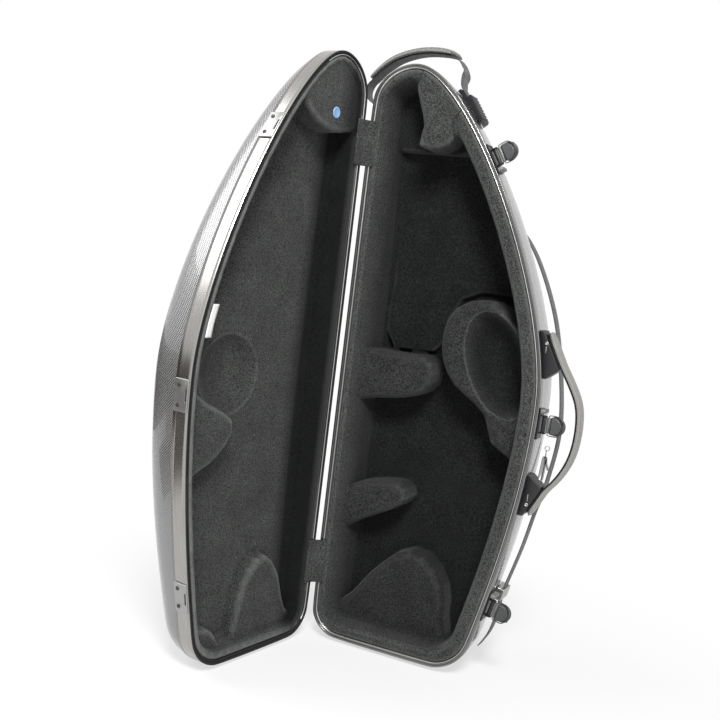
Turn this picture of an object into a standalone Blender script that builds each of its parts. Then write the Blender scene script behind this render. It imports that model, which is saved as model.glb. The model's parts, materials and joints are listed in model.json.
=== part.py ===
"""Moulded hard case for a tenor saxophone, standing open on its bottom end.

Metres, +Z up, with the origin on the floor under the middle of the open case. The base shell is
fixed and opens towards -Y. The hinge axis is upright, on the spine side, and everything hangs on an
empty that stands there. The lid is modelled closed, in front of the base, and hangs on a second
empty that swings it open.

Places on the case are given as u, v and w: u is the distance from the hinge axis across the
opening, v the height above the case's bottom edge and w the depth behind the opening's plane.
"""
import math

import bmesh
import bpy
from mathutils import Matrix, Vector
from mathutils.geometry import interpolate_bezier

# Outline of the opening, shared by base and lid
CASE_LENGTH = 0.860
WIDEST = 0.312
WIDEST_HEIGHT = 0.400
SPINE_OFFSET = 0.004
SPINE_CORNER = 0.045
FREE_CORNER = 0.065
FREE_CORNER_U = 0.196
FREE_LEAN = math.radians(13)
TOP_U = 0.070
TOP_SPINE_DROP = 0.060
PULL_ABOVE_WIDEST = 0.35
PULL_AT_TOP = 0.33
PULL_AT_CORNER = 0.12
PULL_BELOW_WIDEST = 0.42
CIRCLE_PULL = 0.5523

# How it stands and how far it is open
HINGE_AT = (-0.1173, 0.0736)
FOOT_HEIGHT = 0.006
OPEN_ANGLE = math.radians(99)
MATING_GAP = 0.0006
SEAT_GAP = 0.0003
LINER_CLEARANCE = 0.0007

# Shells: depths of base and lid at the widest height, the top and the bottom
SHELL_WALL = 0.003
SHELL_INSET = 0.0015
BASE_DEPTH = 0.120
BASE_DEPTH_TOP = 0.080
BASE_DEPTH_BOTTOM = 0.104
LID_DEPTH = 0.092
LID_DEPTH_TOP = 0.054
LID_DEPTH_BOTTOM = 0.070
BACK_ROUND_ACROSS = 0.040
BACK_ROUND_SHARE = 0.55
BACK_CROWN = 0.006
STRAIGHT_INSET = 0.034
SPINE_LINE = ((0.135, 0.140), (0.100, 0.720))

# Edge extrusions and the bright bead in each
BASE_BAND = 0.012
LID_BAND = 0.026
LEG_WALL = 0.0012
HEAD_DEPTH = 0.008
HEAD_WIDTH = 0.0072
INNER_LEG = 0.016
LIP_WIDTH = 0.0026
GROOVE_WIDTH = 0.0020
GROOVE_DEPTH = 0.0016
BEAD_RADIUS = 0.0012

# Liners
BASE_FLOOR = 0.086
BASE_FLOOR_TOP = 0.056
BASE_FLOOR_BOTTOM = 0.076
LID_FLOOR = 0.047
LID_FLOOR_TOP = 0.040
LID_FLOOR_BOTTOM = 0.036
LIP_LEVEL = 0.0012
BASE_LINER_WALL = 0.030
LID_LINER_WALL = 0.020
BASE_LIP = (0.009, 0.022)
BASE_LIP_ROUND = (0.008, 0.004)
LID_LIP = (0.010, 0.010)
LID_LIP_ROUND = (0.006, 0.006)
FLOOR_ROUND = 0.008

# Foam forms: outlines in u and v; points past the liner's wall are trimmed away
SHELF_LEVEL = 0.052


def from_top(*points):
    """Points given as u and the drop below the case's top, as u and v."""
    return [(u, CASE_LENGTH - drop) for u, drop in points]


NECK_SHELF = from_top((-0.02, 0.119), (0.02, 0.119), (0.10, 0.119), (0.18, 0.119), (0.25, 0.115), (0.25, 0.04),
                      (0.16, -0.03), (0.06, -0.04), (-0.02, -0.02))
NECK_BLOCK_TOP = 0.010
NECK_BLOCK = from_top((0.074, 0.0), (0.0745, 0.022), (0.077, 0.043), (0.084, 0.063), (0.091, 0.084),
                      (0.088, 0.103), (0.086, 0.114), (0.095, 0.1185), (0.110, 0.119), (0.125, 0.115),
                      (0.135, 0.104), (0.150, 0.085), (0.18, 0.06), (0.15, 0.01), (0.11, -0.02))
FLOOR_PANEL_TOP = 0.074
FLOOR_PANEL = from_top((0.042, 0.222), (0.056, 0.205), (0.12, 0.204), (0.20, 0.204), (0.28, 0.210))
FLOOR_PANEL += [(0.30, 0.56), (0.24, 0.548), (0.18, 0.545), (0.148, 0.525), (0.138, 0.49), (0.136, 0.455),
                (0.09, 0.448), (0.042, 0.455), (0.042, 0.55)]
BELL_CUP_TOP = 0.028
BELL_CUP = [(0.33, 0.490), (0.262, 0.505), (0.228, 0.533), (0.198, 0.537), (0.166, 0.525), (0.149, 0.499),
            (0.146, 0.465), (0.153, 0.436), (0.172, 0.410), (0.199, 0.392), (0.220, 0.378), (0.230, 0.361),
            (0.235, 0.340), (0.253, 0.326), (0.300, 0.312), (0.36, 0.36), (0.36, 0.45)]
BELL_HOLLOW_AT = (0.236, 0.448, 0.020)
BELL_HOLLOW_LEAN = math.radians(-25)
BELL_HOLLOW_SIZE = (0.046, 0.050, 0.080)
BODY_PAD_TOP = 0.030
UPPER_PAD = [(-0.01, 0.366), (0.055, 0.371), (0.101, 0.379), (0.131, 0.396), (0.139, 0.422), (0.125, 0.441),
             (0.080, 0.441), (-0.01, 0.435)]
LOWER_PAD = [(-0.01, 0.155), (0.018, 0.161), (0.053, 0.182), (0.106, 0.211), (0.122, 0.231), (0.103, 0.248),
             (0.046, 0.238), (0.010, 0.221), (-0.01, 0.215)]
BOW_CRADLE_TOP = 0.036
BOW_CRADLE = [(-0.01, 0.012), (0.040, 0.054), (0.076, 0.103), (0.112, 0.139), (0.138, 0.149), (0.166, 0.141),
              (0.187, 0.118), (0.198, 0.090), (0.200, 0.056), (0.212, 0.010), (0.20, -0.02), (0.10, -0.02),
              (0.00, -0.02)]
LID_TOP_BLOCK_TOP = 0.0045
LID_TOP_BLOCK = from_top((0.137, 0.085), (0.160, 0.06), (0.13, 0.01), (0.078, -0.02), (0.03, -0.01),
                         (-0.01, 0.04), (-0.01, 0.088), (0.029, 0.106), (0.069, 0.113), (0.110, 0.104))
LID_WEDGE_TOP = 0.020
LID_WEDGE = [(0.30, 0.385), (0.256, 0.365), (0.226, 0.353), (0.197, 0.335), (0.204, 0.308), (0.226, 0.287),
             (0.255, 0.272), (0.30, 0.262)]
LID_BOW_MOUND_TOP = 0.018
LID_BOW_MOUND = [(0.149, -0.01), (0.151, 0.055), (0.137, 0.104), (0.112, 0.130), (0.088, 0.128), (0.061, 0.097),
                 (0.040, 0.046), (0.004, -0.004), (0.06, -0.02)]
LID_CORNER_PAD_TOP = 0.016
LID_CORNER_PAD = [(0.185, -0.01), (0.186, 0.022), (0.203, 0.044), (0.228, 0.050), (0.26, 0.045), (0.25, 0.0)]
LID_DISH_AT = (0.190, 0.397, 0.030)
LID_DISH_SIZE = (0.068, 0.036, 0.064)
BASE_FORM_ROOT = 0.120
LID_FORM_ROOT = 0.100
CRISP_SHOULDER = 0.003
SMALL_SHOULDER = 0.006
FULL_SHOULDER = 0.008
BROAD_SHOULDER = 0.010
FORM_POINTS = 26

# Hinges
HINGE_HEIGHTS = (CASE_LENGTH - 0.118, 0.113)
HINGE_LENGTH = 0.060
MIDDLE_KNUCKLE = 0.024
KNUCKLE_GAP = 0.0004
KNUCKLE_RADIUS = 0.0034
PIN_RADIUS = 0.0015
PIN_HEAD = 0.0008
LEAF_THICKNESS = 0.0015
BASE_LEAF_WIDTH = 0.0112
LID_LEAF_WIDTH = 0.0240
FLAP_LENGTH = 0.065
FLAP_FROM = 0.0085
FLAP_WIDTH = 0.0105
FLAP_THICKNESS = 0.0007

# Latches: height on the free side, and the end of the plate that carries the cast block.
# Sizes are in a frame on the edge: outwards, deeper into the base and along the edge.
LATCHES = {"top": (CASE_LENGTH - 0.126, -1), "middle": (0.379, 1), "bottom": (0.108, 1)}
LATCH_PIN_OUT = 0.0070
LATCH_PIN_DEEP = 0.0110
LATCH_PIN_RADIUS = 0.00125
LATCH_PLATE_HALF = 0.0215
LATCH_PLATE_FROM = 0.003
LATCH_PLATE_DEEP = 0.026
LATCH_PLATE_TOP = 0.0020
LATCH_EAR_AT = 0.0112
LATCH_EAR_WALL = 0.0014
LATCH_EAR_RADIUS = 0.0045
LATCH_BLOCK_AT = 0.0158
LATCH_BLOCK_HEIGHT = 0.0085
PIVOT_GAP = 0.0003
LEVER_HALF = 0.0107
LEVER_BARREL = 0.0032
LEVER_ARM = 0.0020
LEVER_TONGUE_FROM = 0.0095
LEVER_TONGUE_TO = 0.0180
LEVER_TONGUE_HALF = 0.0080
BAIL_PIVOT = 0.0065
BAIL_BOSS = 0.0022
BAIL_WIRE = 0.0009
BAIL_HALF = 0.0143
BAIL_FOOT = 0.0040
BAIL_STRAIGHT = 0.0130
BAIL_REACH = 0.0222
BAIL_DROP = 0.0061
BAIL_BAR_HALF = 0.0064
GRIP_REACH = 0.0250
GRIP_HALF = 0.0112
GRIP_THICKNESS = 0.0042
STRIKE_HALF = 0.0210
STRIKE_FROM = 0.0018
STRIKE_WIDTH = 0.0225
STRIKE_THICKNESS = 0.0016
STRIKE_SLOT_HALF = 0.0084
STRIKE_SLOT_WIDTH = 0.0028
STRIKE_LIP = 0.0016

# Carrying handle: a strap between two wedge brackets on the free side
BRACKET_DEEP = 0.0135
BRACKET_WIDTH = 0.0265
UPPER_BRACKET = ((0.507, 0.0055), (0.458, 0.0215), (0.455, 0.0205), (0.441, 0.0015))
LOWER_BRACKET = ((0.246, 0.0055), (0.288, 0.0215), (0.291, 0.0205), (0.305, 0.0015))
BRACKET_ROOT = 0.004
HANDLE_DEEP = 0.027
HANDLE_WIDTH = 0.024
HANDLE_THICKNESS = 0.0062
HANDLE_GRIP = 0.0016
HANDLE_SEAT = 0.0007
HANDLE_END = 0.0045
HANDLE_BOW = ((0.0330, 0.434), (0.0440, 0.408), (0.0480, 0.374), (0.0450, 0.338), (0.0345, 0.308))

# Feet
FOOT_RADIUS = 0.0105
FOOT_TAPER = 0.86
FOOT_ROOT = 0.016
BASE_FEET = {"front_spine": (0.062, 0.030), "front_free": (0.188, 0.030),
             "back_spine": (0.062, 0.064), "back_free": (0.188, 0.064)}
LID_FEET = {"spine": (0.062, 0.036), "free": (0.188, 0.036)}

# Straps: webbing over the top with a pad on it, and a shoulder strap behind the free side.
# The top strap's stops are u, the drop below the case's top and w. The shoulder strap's stops are
# the distance outside the free edge, the height and w.
WEBBING_WIDTH = 0.025
WEBBING_THICKNESS = 0.0018
PAD_WIDTH = 0.038
PAD_THICKNESS = 0.009
PAD_END_THICKNESS = 0.004
TOP_STRAP = ((-0.0120, 0.055, 0.061), (-0.0290, 0.045, 0.067), (-0.0395, 0.031, 0.075),
             (-0.0355, 0.013, 0.082), (-0.0080, -0.013, 0.085), (0.0200, -0.025, 0.085),
             (0.0500, -0.030, 0.085), (0.0850, -0.028, 0.084), (0.1040, -0.020, 0.078),
             (0.1190, -0.002, 0.066), (0.1225, 0.012, 0.054))
PAD_SPAN = (18, 31)
BUCKLE_SPINE = (CASE_LENGTH - 0.095, 0.060)
BUCKLE_FREE = (CASE_LENGTH - 0.052, 0.045)
BUCKLE_HALF = 0.029
BUCKLE_WIDTH = 0.031
BUCKLE_PLATE = 0.003
BUCKLE_SLOT = 0.013
BUCKLE_RISE = 0.0105
BUCKLE_LOW = 0.006
BUCKLE_ROOT = 0.008
BUCKLE_EDGE = 0.0008
WEBBING_LEAD = 0.002
WEBBING_LIFT = 0.001
RIDGES = 8
RIDGE_DEPTH = 0.0012
SHOULDER_PLATE_AT = (0.150, CASE_LENGTH - 0.160)
SHOULDER_PLATE_HALF = (0.020, 0.014)
SHOULDER_PLATE_FROM = 0.098
SHOULDER_PLATE_TO = 0.1105
SHOULDER_STRAP = ((-0.0620, CASE_LENGTH - 0.154, 0.1120), (-0.0530, CASE_LENGTH - 0.168, 0.1132),
                  (-0.0420, CASE_LENGTH - 0.190, 0.1220),
                  (-0.0220, CASE_LENGTH - 0.240, 0.1460), (-0.0120, CASE_LENGTH - 0.326, 0.1480),
                  (-0.0100, 0.450, 0.1480), (0.0040, 0.360, 0.1280), (0.0100, 0.285, 0.0920),
                  (0.0115, 0.245, 0.0640), (0.0100, 0.190, 0.0600))
KEEPER_AT = (0.119, 0.060)
KEEPER_HALF = 0.009
KEEPER_WIDTH = 0.033
KEEPER_OUT = 0.0095
KEEPER_SLOT = (0.0045, 0.0075)
KEEPER_SLOT_WIDTH = 0.0262
KEEPER_LEAD = 0.006
STRAP_TAIL = ((0.0090, 0.082, 0.0600), (0.0085, 0.055, 0.0600), (0.0050, 0.032, 0.0600))


for old in list(bpy.data.objects):
    bpy.data.objects.remove(old, do_unlink=True)

parts = bpy.data.collections.new("tenor_sax_case")
cutters = bpy.data.collections.new("cutters")
bpy.context.scene.collection.children.link(parts)
bpy.context.scene.collection.children.link(cutters)


def material(name, colour, roughness, metallic=0.0):
    made = bpy.data.materials.new(name)
    made.use_nodes = True
    shader = made.node_tree.nodes["Principled BSDF"]
    shader.inputs["Base Color"].default_value = (*colour, 1.0)
    shader.inputs["Roughness"].default_value = roughness
    shader.inputs["Metallic"].default_value = metallic
    return made


SHELL_GREY = material("woven_composite_silver", (0.22, 0.22, 0.22), 0.25)
EDGE_METAL = material("edge_extrusion_dark", (0.10, 0.10, 0.10), 0.45, 0.8)
BEAD_METAL = material("bead_bright", (0.62, 0.62, 0.60), 0.3, 0.9)
PLUSH = material("plush_black", (0.018, 0.019, 0.019), 0.95)
STEEL = material("plated_steel", (0.45, 0.45, 0.44), 0.35, 0.9)
BLACK_STEEL = material("black_steel", (0.02, 0.02, 0.022), 0.45, 0.5)
BLACK_PLASTIC = material("black_plastic", (0.03, 0.03, 0.032), 0.5)
HANDLE_GREY = material("handle_grey", (0.25, 0.25, 0.25), 0.5)
RUBBER = material("rubber_black", (0.02, 0.02, 0.02), 0.85)
WEBBING = material("webbing_black", (0.03, 0.035, 0.035), 0.9)
PAD_FABRIC = material("strap_fabric_grey", (0.16, 0.16, 0.16), 0.9)

hinge_axis = bpy.data.objects.new("hinge_axis", None)
hinge_axis.location = (*HINGE_AT, 0)
lid_hinge = bpy.data.objects.new("lid_hinge", None)
lid_hinge.parent = hinge_axis
lid_hinge.rotation_euler.z = -OPEN_ANGLE
parts.objects.link(hinge_axis)
parts.objects.link(lid_hinge)


def add(name, mesh, finish, parent=None, matrix=None):
    """Put a mesh in the scene as a named piece."""
    made = bpy.data.objects.new(name, mesh)
    made.data.materials.append(finish)
    parts.objects.link(made)
    made.parent = parent or hinge_axis
    if matrix:
        made.matrix_local = matrix
    return made


def as_cutter(made):
    parts.objects.unlink(made)
    cutters.objects.link(made)
    made.hide_render = True
    made.display_type = "WIRE"
    return made


def combine(made, other, operation):
    """Boolean between a piece and a hidden cutter or addition."""
    step = made.modifiers.new(operation.lower() + "_" + other.name, "BOOLEAN")
    step.operation = operation
    step.object = other
    return made


def finish_mesh(name, bm, weld=0.0):
    if weld:
        bmesh.ops.remove_doubles(bm, verts=bm.verts, dist=weld)
    bmesh.ops.recalc_face_normals(bm, faces=bm.faces)
    mesh = bpy.data.meshes.new(name)
    bm.to_mesh(mesh)
    bm.free()
    mesh.shade_smooth()
    mesh.set_sharp_from_angle(angle=math.radians(35))
    return mesh


def box_mesh(name, low, high, bevel=0.0, segments=1):
    bm = bmesh.new()
    size = [b - a for a, b in zip(low, high)]
    centre = [(a + b) / 2 for a, b in zip(low, high)]
    bmesh.ops.create_cube(bm, size=1.0, matrix=Matrix.Translation(centre) @ Matrix.Diagonal((*size, 1)))
    if bevel:
        bmesh.ops.bevel(bm, geom=bm.edges[:], offset=bevel, segments=segments, profile=0.5, affect="EDGES")
    return finish_mesh(name, bm)


def rod_mesh(name, radius, start, end, sides=16, end_radius=None):
    """A cylinder or cone between two points."""
    bm = bmesh.new()
    start, end = Vector(start), Vector(end)
    along = end - start
    turn = Vector((0, 0, 1)).rotation_difference(along).to_matrix().to_4x4()
    matrix = Matrix.Translation((start + end) / 2) @ turn
    bmesh.ops.create_cone(bm, cap_ends=True, segments=sides, radius1=radius,
                          radius2=radius if end_radius is None else end_radius,
                          depth=along.length, matrix=matrix)
    return finish_mesh(name, bm)


def solid(name, finish, shapes, cuts, parent, matrix, trims=(), late=(), late_cuts=()):
    """A node from meshes in one frame: shapes joined, cuts taken out, then more shapes and cuts."""
    made = add(name, shapes[0], finish, parent, matrix)
    steps = [(mesh, "UNION") for mesh in shapes[1:]] + [(mesh, "DIFFERENCE") for mesh in cuts]
    steps += [(mesh, "UNION") for mesh in late] + [(mesh, "DIFFERENCE") for mesh in late_cuts]
    for index, (mesh, operation) in enumerate(steps):
        combine(made, as_cutter(add(f"{name}_step_{index}", mesh, finish, parent, matrix)), operation)
    for trim in trims:
        combine(made, trim, "DIFFERENCE")
    return made


def prism_mesh(name, points, low, high, bevel=0.0):
    """An outline in X and Y extruded along Z."""
    bm = bmesh.new()
    face = bm.faces.new([bm.verts.new((x, y, low)) for x, y in points])
    made = bmesh.ops.extrude_face_region(bm, geom=[face])["geom"]
    top = [item for item in made if isinstance(item, bmesh.types.BMVert)]
    bmesh.ops.translate(bm, verts=top, vec=(0, 0, high - low))
    if bevel:
        rims = [edge for edge in bm.edges if abs(edge.verts[0].co.z - edge.verts[1].co.z) < 1e-7]
        bmesh.ops.bevel(bm, geom=rims, offset=bevel, segments=1, affect="EDGES")
    return finish_mesh(name, bm)


def wire_mesh(name, points, radius, resolution):
    """A wire along points, as a mesh with its caps welded."""
    curve = bpy.data.curves.new(name, "CURVE")
    curve.dimensions = "3D"
    curve.bevel_depth = radius
    curve.bevel_resolution = resolution
    curve.use_fill_caps = True
    spline = curve.splines.new("POLY")
    spline.points.add(len(points) - 1)
    for item, point in zip(spline.points, points):
        item.co = (*point, 1)
    holder = bpy.data.objects.new(name, curve)
    parts.objects.link(holder)
    mesh = bpy.data.meshes.new_from_object(holder.evaluated_get(bpy.context.evaluated_depsgraph_get()))
    bpy.data.objects.remove(holder, do_unlink=True)
    bm = bmesh.new()
    bm.from_mesh(mesh)
    return finish_mesh(name, bm, weld=0.00001)


def smooth_line(stops, steps):
    """Points and width directions on a smooth line through the stops."""
    line = []
    last = len(stops) - 1
    for k in range(last):
        (a, across_a), (b, across_b), (c, across_c), (d, across_d) = (
            stops[min(max(k + step, 0), last)] for step in (-1, 0, 1, 2))
        for step in range(steps + (k == last - 1)):
            t = step / steps
            point = 0.5 * (2 * b + (c - a) * t + (2 * a - 5 * b + 4 * c - d) * t ** 2
                           + (3 * b - a - 3 * c + d) * t ** 3)
            line.append((point, across_b.lerp(across_c, t).normalized()))
    return line


def ribbon(name, stops, width, thickness, finish, raised=0.0, steps=3, crown=0.3, span=None,
           end_thickness=None):
    """A strap along a smooth line, each stop a point and the direction of the strap's width.

    With a span only that run of the line is made, and its ends may be thinner than its middle,
    with the underside staying on the line below it.
    """
    line = smooth_line(stops, steps)
    first, last = span or (0, len(line) - 1)
    bm = bmesh.new()
    rows = []
    for k in range(first, last + 1):
        point, across = line[k]
        tangent = line[min(k + 1, len(line) - 1)][0] - line[max(k - 1, 0)][0]
        flat = tangent.cross(across).normalized()
        wide = flat.cross(tangent).normalized()
        full = thickness
        if end_thickness:
            t = (k - first) / (last - first)
            full = end_thickness + (thickness - end_thickness) * (4 * t * (1 - t)) ** 0.4
        lift = raised + (full - thickness) / 2
        flat_half = 0.5 - full / width * (0.5 - crown)
        corners = [(0.5, -crown), (0.5, crown), (flat_half, 0.5), (-flat_half, 0.5), (-0.5, crown),
                   (-0.5, -crown), (-flat_half, -0.5), (flat_half, -0.5)]
        rows.append([bm.verts.new(point + wide * x * width + flat * (y * full + lift)) for x, y in corners])
    for first, second in zip(rows, rows[1:]):
        for k in range(8):
            after = (k + 1) % 8
            bm.faces.new((first[k], first[after], second[after], second[k]))
    bm.faces.new(rows[0])
    bm.faces.new(rows[-1])
    return add(name, finish_mesh(name, bm), finish)


# The outline, as points with their inward directions

def build_outline():
    free_lower = Vector((FREE_CORNER_U + FREE_CORNER * math.cos(FREE_LEAN),
                         FREE_CORNER * (1 - math.sin(FREE_LEAN))))
    lean = Vector((math.sin(FREE_LEAN), math.cos(FREE_LEAN)))
    widest = Vector((WIDEST, WIDEST_HEIGHT))
    top = Vector((TOP_U, CASE_LENGTH))
    spine_top = Vector((SPINE_OFFSET, CASE_LENGTH - TOP_SPINE_DROP))
    spine_foot = Vector((SPINE_OFFSET, SPINE_CORNER))
    below, above = WIDEST_HEIGHT - free_lower.y, CASE_LENGTH - WIDEST_HEIGHT
    points = []

    def arc(centre, radius, first, last, steps):
        for k in range(steps):
            angle = first + (last - first) * k / steps
            points.append(Vector(centre) + radius * Vector((math.cos(angle), math.sin(angle))))

    def straight(start, end, steps):
        for k in range(steps):
            points.append(start.lerp(end, k / steps))

    def curve(start, pull_start, pull_end, end, steps):
        for point in interpolate_bezier(start, start + pull_start, end + pull_end, end, steps + 1)[:-1]:
            points.append(point.to_2d())

    straight(Vector((SPINE_OFFSET + SPINE_CORNER, 0)), Vector((FREE_CORNER_U, 0)), 1)
    arc((FREE_CORNER_U, FREE_CORNER), FREE_CORNER, -math.pi / 2, -FREE_LEAN, 6)
    curve(free_lower, lean * PULL_AT_CORNER * below, Vector((0, -PULL_BELOW_WIDEST * below)), widest, 7)
    curve(widest, Vector((0, PULL_ABOVE_WIDEST * above)),
          Vector((PULL_AT_TOP * (WIDEST - TOP_U), 0)), top, 14)
    curve(top, Vector((-CIRCLE_PULL * (TOP_U - SPINE_OFFSET), 0)),
          Vector((0, CIRCLE_PULL * TOP_SPINE_DROP)), spine_top, 6)
    straight(spine_top, spine_foot, 6)
    arc((SPINE_OFFSET + SPINE_CORNER, SPINE_CORNER), SPINE_CORNER, math.pi, 1.5 * math.pi, 5)
    return points


OUTLINE = build_outline()
COUNT = len(OUTLINE)
TOP_INDEX = max(range(COUNT), key=lambda k: OUTLINE[k].y)
BOTTOM_INDEX = 0


def turned_in(step):
    """The direction into the case, for a step anticlockwise along the outline."""
    return Vector((-step.y, step.x)).normalized()


INWARD = []
for index in range(COUNT):
    before = OUTLINE[index] - OUTLINE[index - 1]
    after = OUTLINE[(index + 1) % COUNT] - OUTLINE[index]
    INWARD.append((turned_in(before) + turned_in(after)).normalized())

RUN = [0.0]
for index in range(COUNT):
    RUN.append(RUN[-1] + (OUTLINE[(index + 1) % COUNT] - OUTLINE[index]).length)
PERIMETER = RUN[-1]


def along(run):
    """Point and inward direction at a distance along the outline."""
    run %= PERIMETER
    index = max(k for k in range(COUNT) if RUN[k] <= run)
    share = (run - RUN[index]) / (RUN[index + 1] - RUN[index])
    nxt = (index + 1) % COUNT
    return OUTLINE[index].lerp(OUTLINE[nxt], share), INWARD[index].lerp(INWARD[nxt], share).normalized()


def run_at_height(height, side):
    """Distance along the outline where the free side or the spine side has a height."""
    for index in range(COUNT):
        a, b = OUTLINE[index], OUTLINE[(index + 1) % COUNT]
        rising = b.y > a.y
        if (rising if side == "free" else b.y < a.y) and min(a.y, b.y) <= height <= max(a.y, b.y):
            return RUN[index] + (RUN[index + 1] - RUN[index]) * (height - a.y) / (b.y - a.y)
    raise ValueError("no such height")


def place(u, v, w, side):
    """World point of a place on the base (side 1) or on the closed lid (side -1)."""
    return Vector((u, side * w, v + FOOT_HEIGHT))


def by_height(height, middle, top, bottom):
    """A depth that is greatest at the widest height and less towards both ends."""
    if height > WIDEST_HEIGHT:
        share = (height - WIDEST_HEIGHT) / (CASE_LENGTH - WIDEST_HEIGHT)
        return middle - (middle - top) * share ** 2
    share = (WIDEST_HEIGHT - height) / WIDEST_HEIGHT
    return middle - (middle - bottom) * share ** 2


def base_depth(height):
    return by_height(height, BASE_DEPTH, BASE_DEPTH_TOP, BASE_DEPTH_BOTTOM)


def lid_depth(height):
    return by_height(height, LID_DEPTH, LID_DEPTH_TOP, LID_DEPTH_BOTTOM)


def base_floor(height):
    return by_height(height, BASE_FLOOR, BASE_FLOOR_TOP, BASE_FLOOR_BOTTOM)


def lid_floor(height):
    return by_height(height, LID_FLOOR, LID_FLOOR_TOP, LID_FLOOR_BOTTOM)


def inset(index, distance, share=0.0):
    """A point inside the outline, first straight in and then towards the case's middle line."""
    start = OUTLINE[index] + INWARD[index] * min(distance, STRAIGHT_INSET)
    low, high = Vector(SPINE_LINE[0]), Vector(SPINE_LINE[1])
    middle_line = high - low
    part = min(max((start - low).dot(middle_line) / middle_line.length_squared, 0), 1)
    target = low + middle_line * part
    to_target = target - start
    extra = max(distance - STRAIGHT_INSET, 0) / to_target.length
    point = start + to_target * extra
    return point.lerp(target, share)


def fixed(depth):
    """A depth that is the same at every height."""
    return lambda height: depth


def sided(spine, free):
    """A size that goes from one value on the spine side to another on the free side."""
    return lambda index: spine + (free - spine) * (1 - INWARD[index].x) / 2


def shell_levels(depth_at, offset):
    """Inset, share towards the middle line and depth of each ring of a shell, from wall to back."""
    edge = SHELL_INSET + BACK_ROUND_ACROSS
    levels = []
    for angle in (0, 25, 48, 70, 90):
        turn = math.radians(angle)
        distance = edge - (BACK_ROUND_ACROSS - offset) * math.cos(turn)
        levels.append((distance, 0.0, lambda height, rise=math.sin(turn):
                       depth_at(height) * (1 - BACK_ROUND_SHARE)
                       + (depth_at(height) * BACK_ROUND_SHARE - offset) * rise))
    for share in (0.4, 0.8):
        crown = BACK_CROWN * (1 - (1 - share) ** 2) - offset
        levels.append((edge, share, lambda height, extra=crown: depth_at(height) + extra))
    return levels


def ring_at(levels, side):
    """Turn levels into rings of world points round the case."""
    rings = []
    for distance, share, depth_at in levels:
        distance_at = distance if callable(distance) else lambda index, size=distance: size
        points = [inset(index, distance_at(index), share) for index in range(COUNT)]
        rings.append([place(point.x, point.y, depth_at(point.y), side) for point in points])
    return rings


def close_across(bm, row):
    """Close a ring with triangles that run from its free side to its spine side at like heights."""
    free = list(range(BOTTOM_INDEX, TOP_INDEX + 1))
    spine = [index % COUNT for index in range(BOTTOM_INDEX + COUNT, TOP_INDEX - 1, -1)]
    a, b = 0, 0
    while a < len(free) - 1 or b < len(spine) - 1:
        on_free = b == len(spine) - 1
        if a < len(free) - 1 and not on_free:
            on_free = row[free[a + 1]].co.z < row[spine[b + 1]].co.z
        corners = {row[free[a]], row[spine[b]], row[free[a + 1] if on_free else spine[b + 1]]}
        if len(corners) == 3:
            bm.faces.new(list(corners))
        a, b = (a + 1, b) if on_free else (a, b + 1)


def loft(name, rings, side, fill_ends=(False, False), closed=False):
    """Skin closed rings one after another, with faces that point out of the case."""
    bm = bmesh.new()
    rows = [[bm.verts.new(point) for point in row] for row in rings]
    pairs = list(zip(rows, rows[1:]))
    if closed:
        pairs.append((rows[-1], rows[0]))
    for first, second in pairs:
        count = len(first)
        for k in range(count):
            after = (k + 1) % count
            bm.faces.new((first[k], first[after], second[after]))
            bm.faces.new((first[k], second[after], second[k]))
    for row, wanted in ((rows[0], fill_ends[0]), (rows[-1], fill_ends[1])):
        if wanted:
            close_across(bm, row)
    if closed or all(fill_ends):
        return finish_mesh(name, bm)
    mesh = bpy.data.meshes.new(name)
    bmesh.ops.recalc_face_normals(bm, faces=bm.faces)
    back = max(bm.faces, key=lambda face: abs(face.calc_center_median().y))
    if back.normal.y * side < 0:
        bmesh.ops.reverse_faces(bm, faces=bm.faces)
    bm.to_mesh(mesh)
    bm.free()
    mesh.shade_smooth()
    return mesh


def edge_matrix(run, deep, side, raised=0.0):
    """Frame on the outline: X outwards, Y deeper into the base, Z along the edge."""
    point, inward = along(run)
    out = Vector((-inward.x, 0, -inward.y))
    deeper = Vector((0, 1, 0))
    up = out.cross(deeper)
    turn = Matrix((out, deeper, up)).transposed().to_4x4()
    return Matrix.Translation(place(point.x, point.y, deep, side) + out * raised) @ turn


# Envelopes: what sits on a case half is cut to its surface, with the seat gap

def envelope(name, depth_at, side, band):
    levels = [(-SEAT_GAP, 0.0, fixed(-MATING_GAP)), (-SEAT_GAP, 0.0, fixed(band + SEAT_GAP)),
              (SHELL_INSET - SEAT_GAP, 0.0, fixed(band + SEAT_GAP))] + shell_levels(depth_at, -SEAT_GAP)
    mesh = loft(name, ring_at(levels, side), side, fill_ends=(True, True))
    return as_cutter(add(name, mesh, RUBBER, lid_hinge if side < 0 else None))


base_envelope = envelope("base_envelope", base_depth, 1, BASE_BAND)
lid_envelope = envelope("lid_envelope", lid_depth, -1, LID_BAND)


# Shells: one moulded skin each, thickened inwards

def shell(name, depth_at, side):
    levels = [(SHELL_INSET, 0.0, fixed(HEAD_DEPTH + SEAT_GAP))] + shell_levels(depth_at, 0.0)
    mesh = loft(name, ring_at(levels, side), side, fill_ends=(False, True))
    made = add(name, mesh, SHELL_GREY, lid_hinge if side < 0 else None)
    wall = made.modifiers.new("wall", "SOLIDIFY")
    wall.thickness = SHELL_WALL
    wall.offset = -1
    wall.use_even_offset = True
    return made


base_shell = shell("base_shell", base_depth, 1)
lid_shell = shell("lid_shell", lid_depth, -1)


# Edge extrusions: an h-shaped section that grips the shell's edge, with a groove and a bead seat

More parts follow.
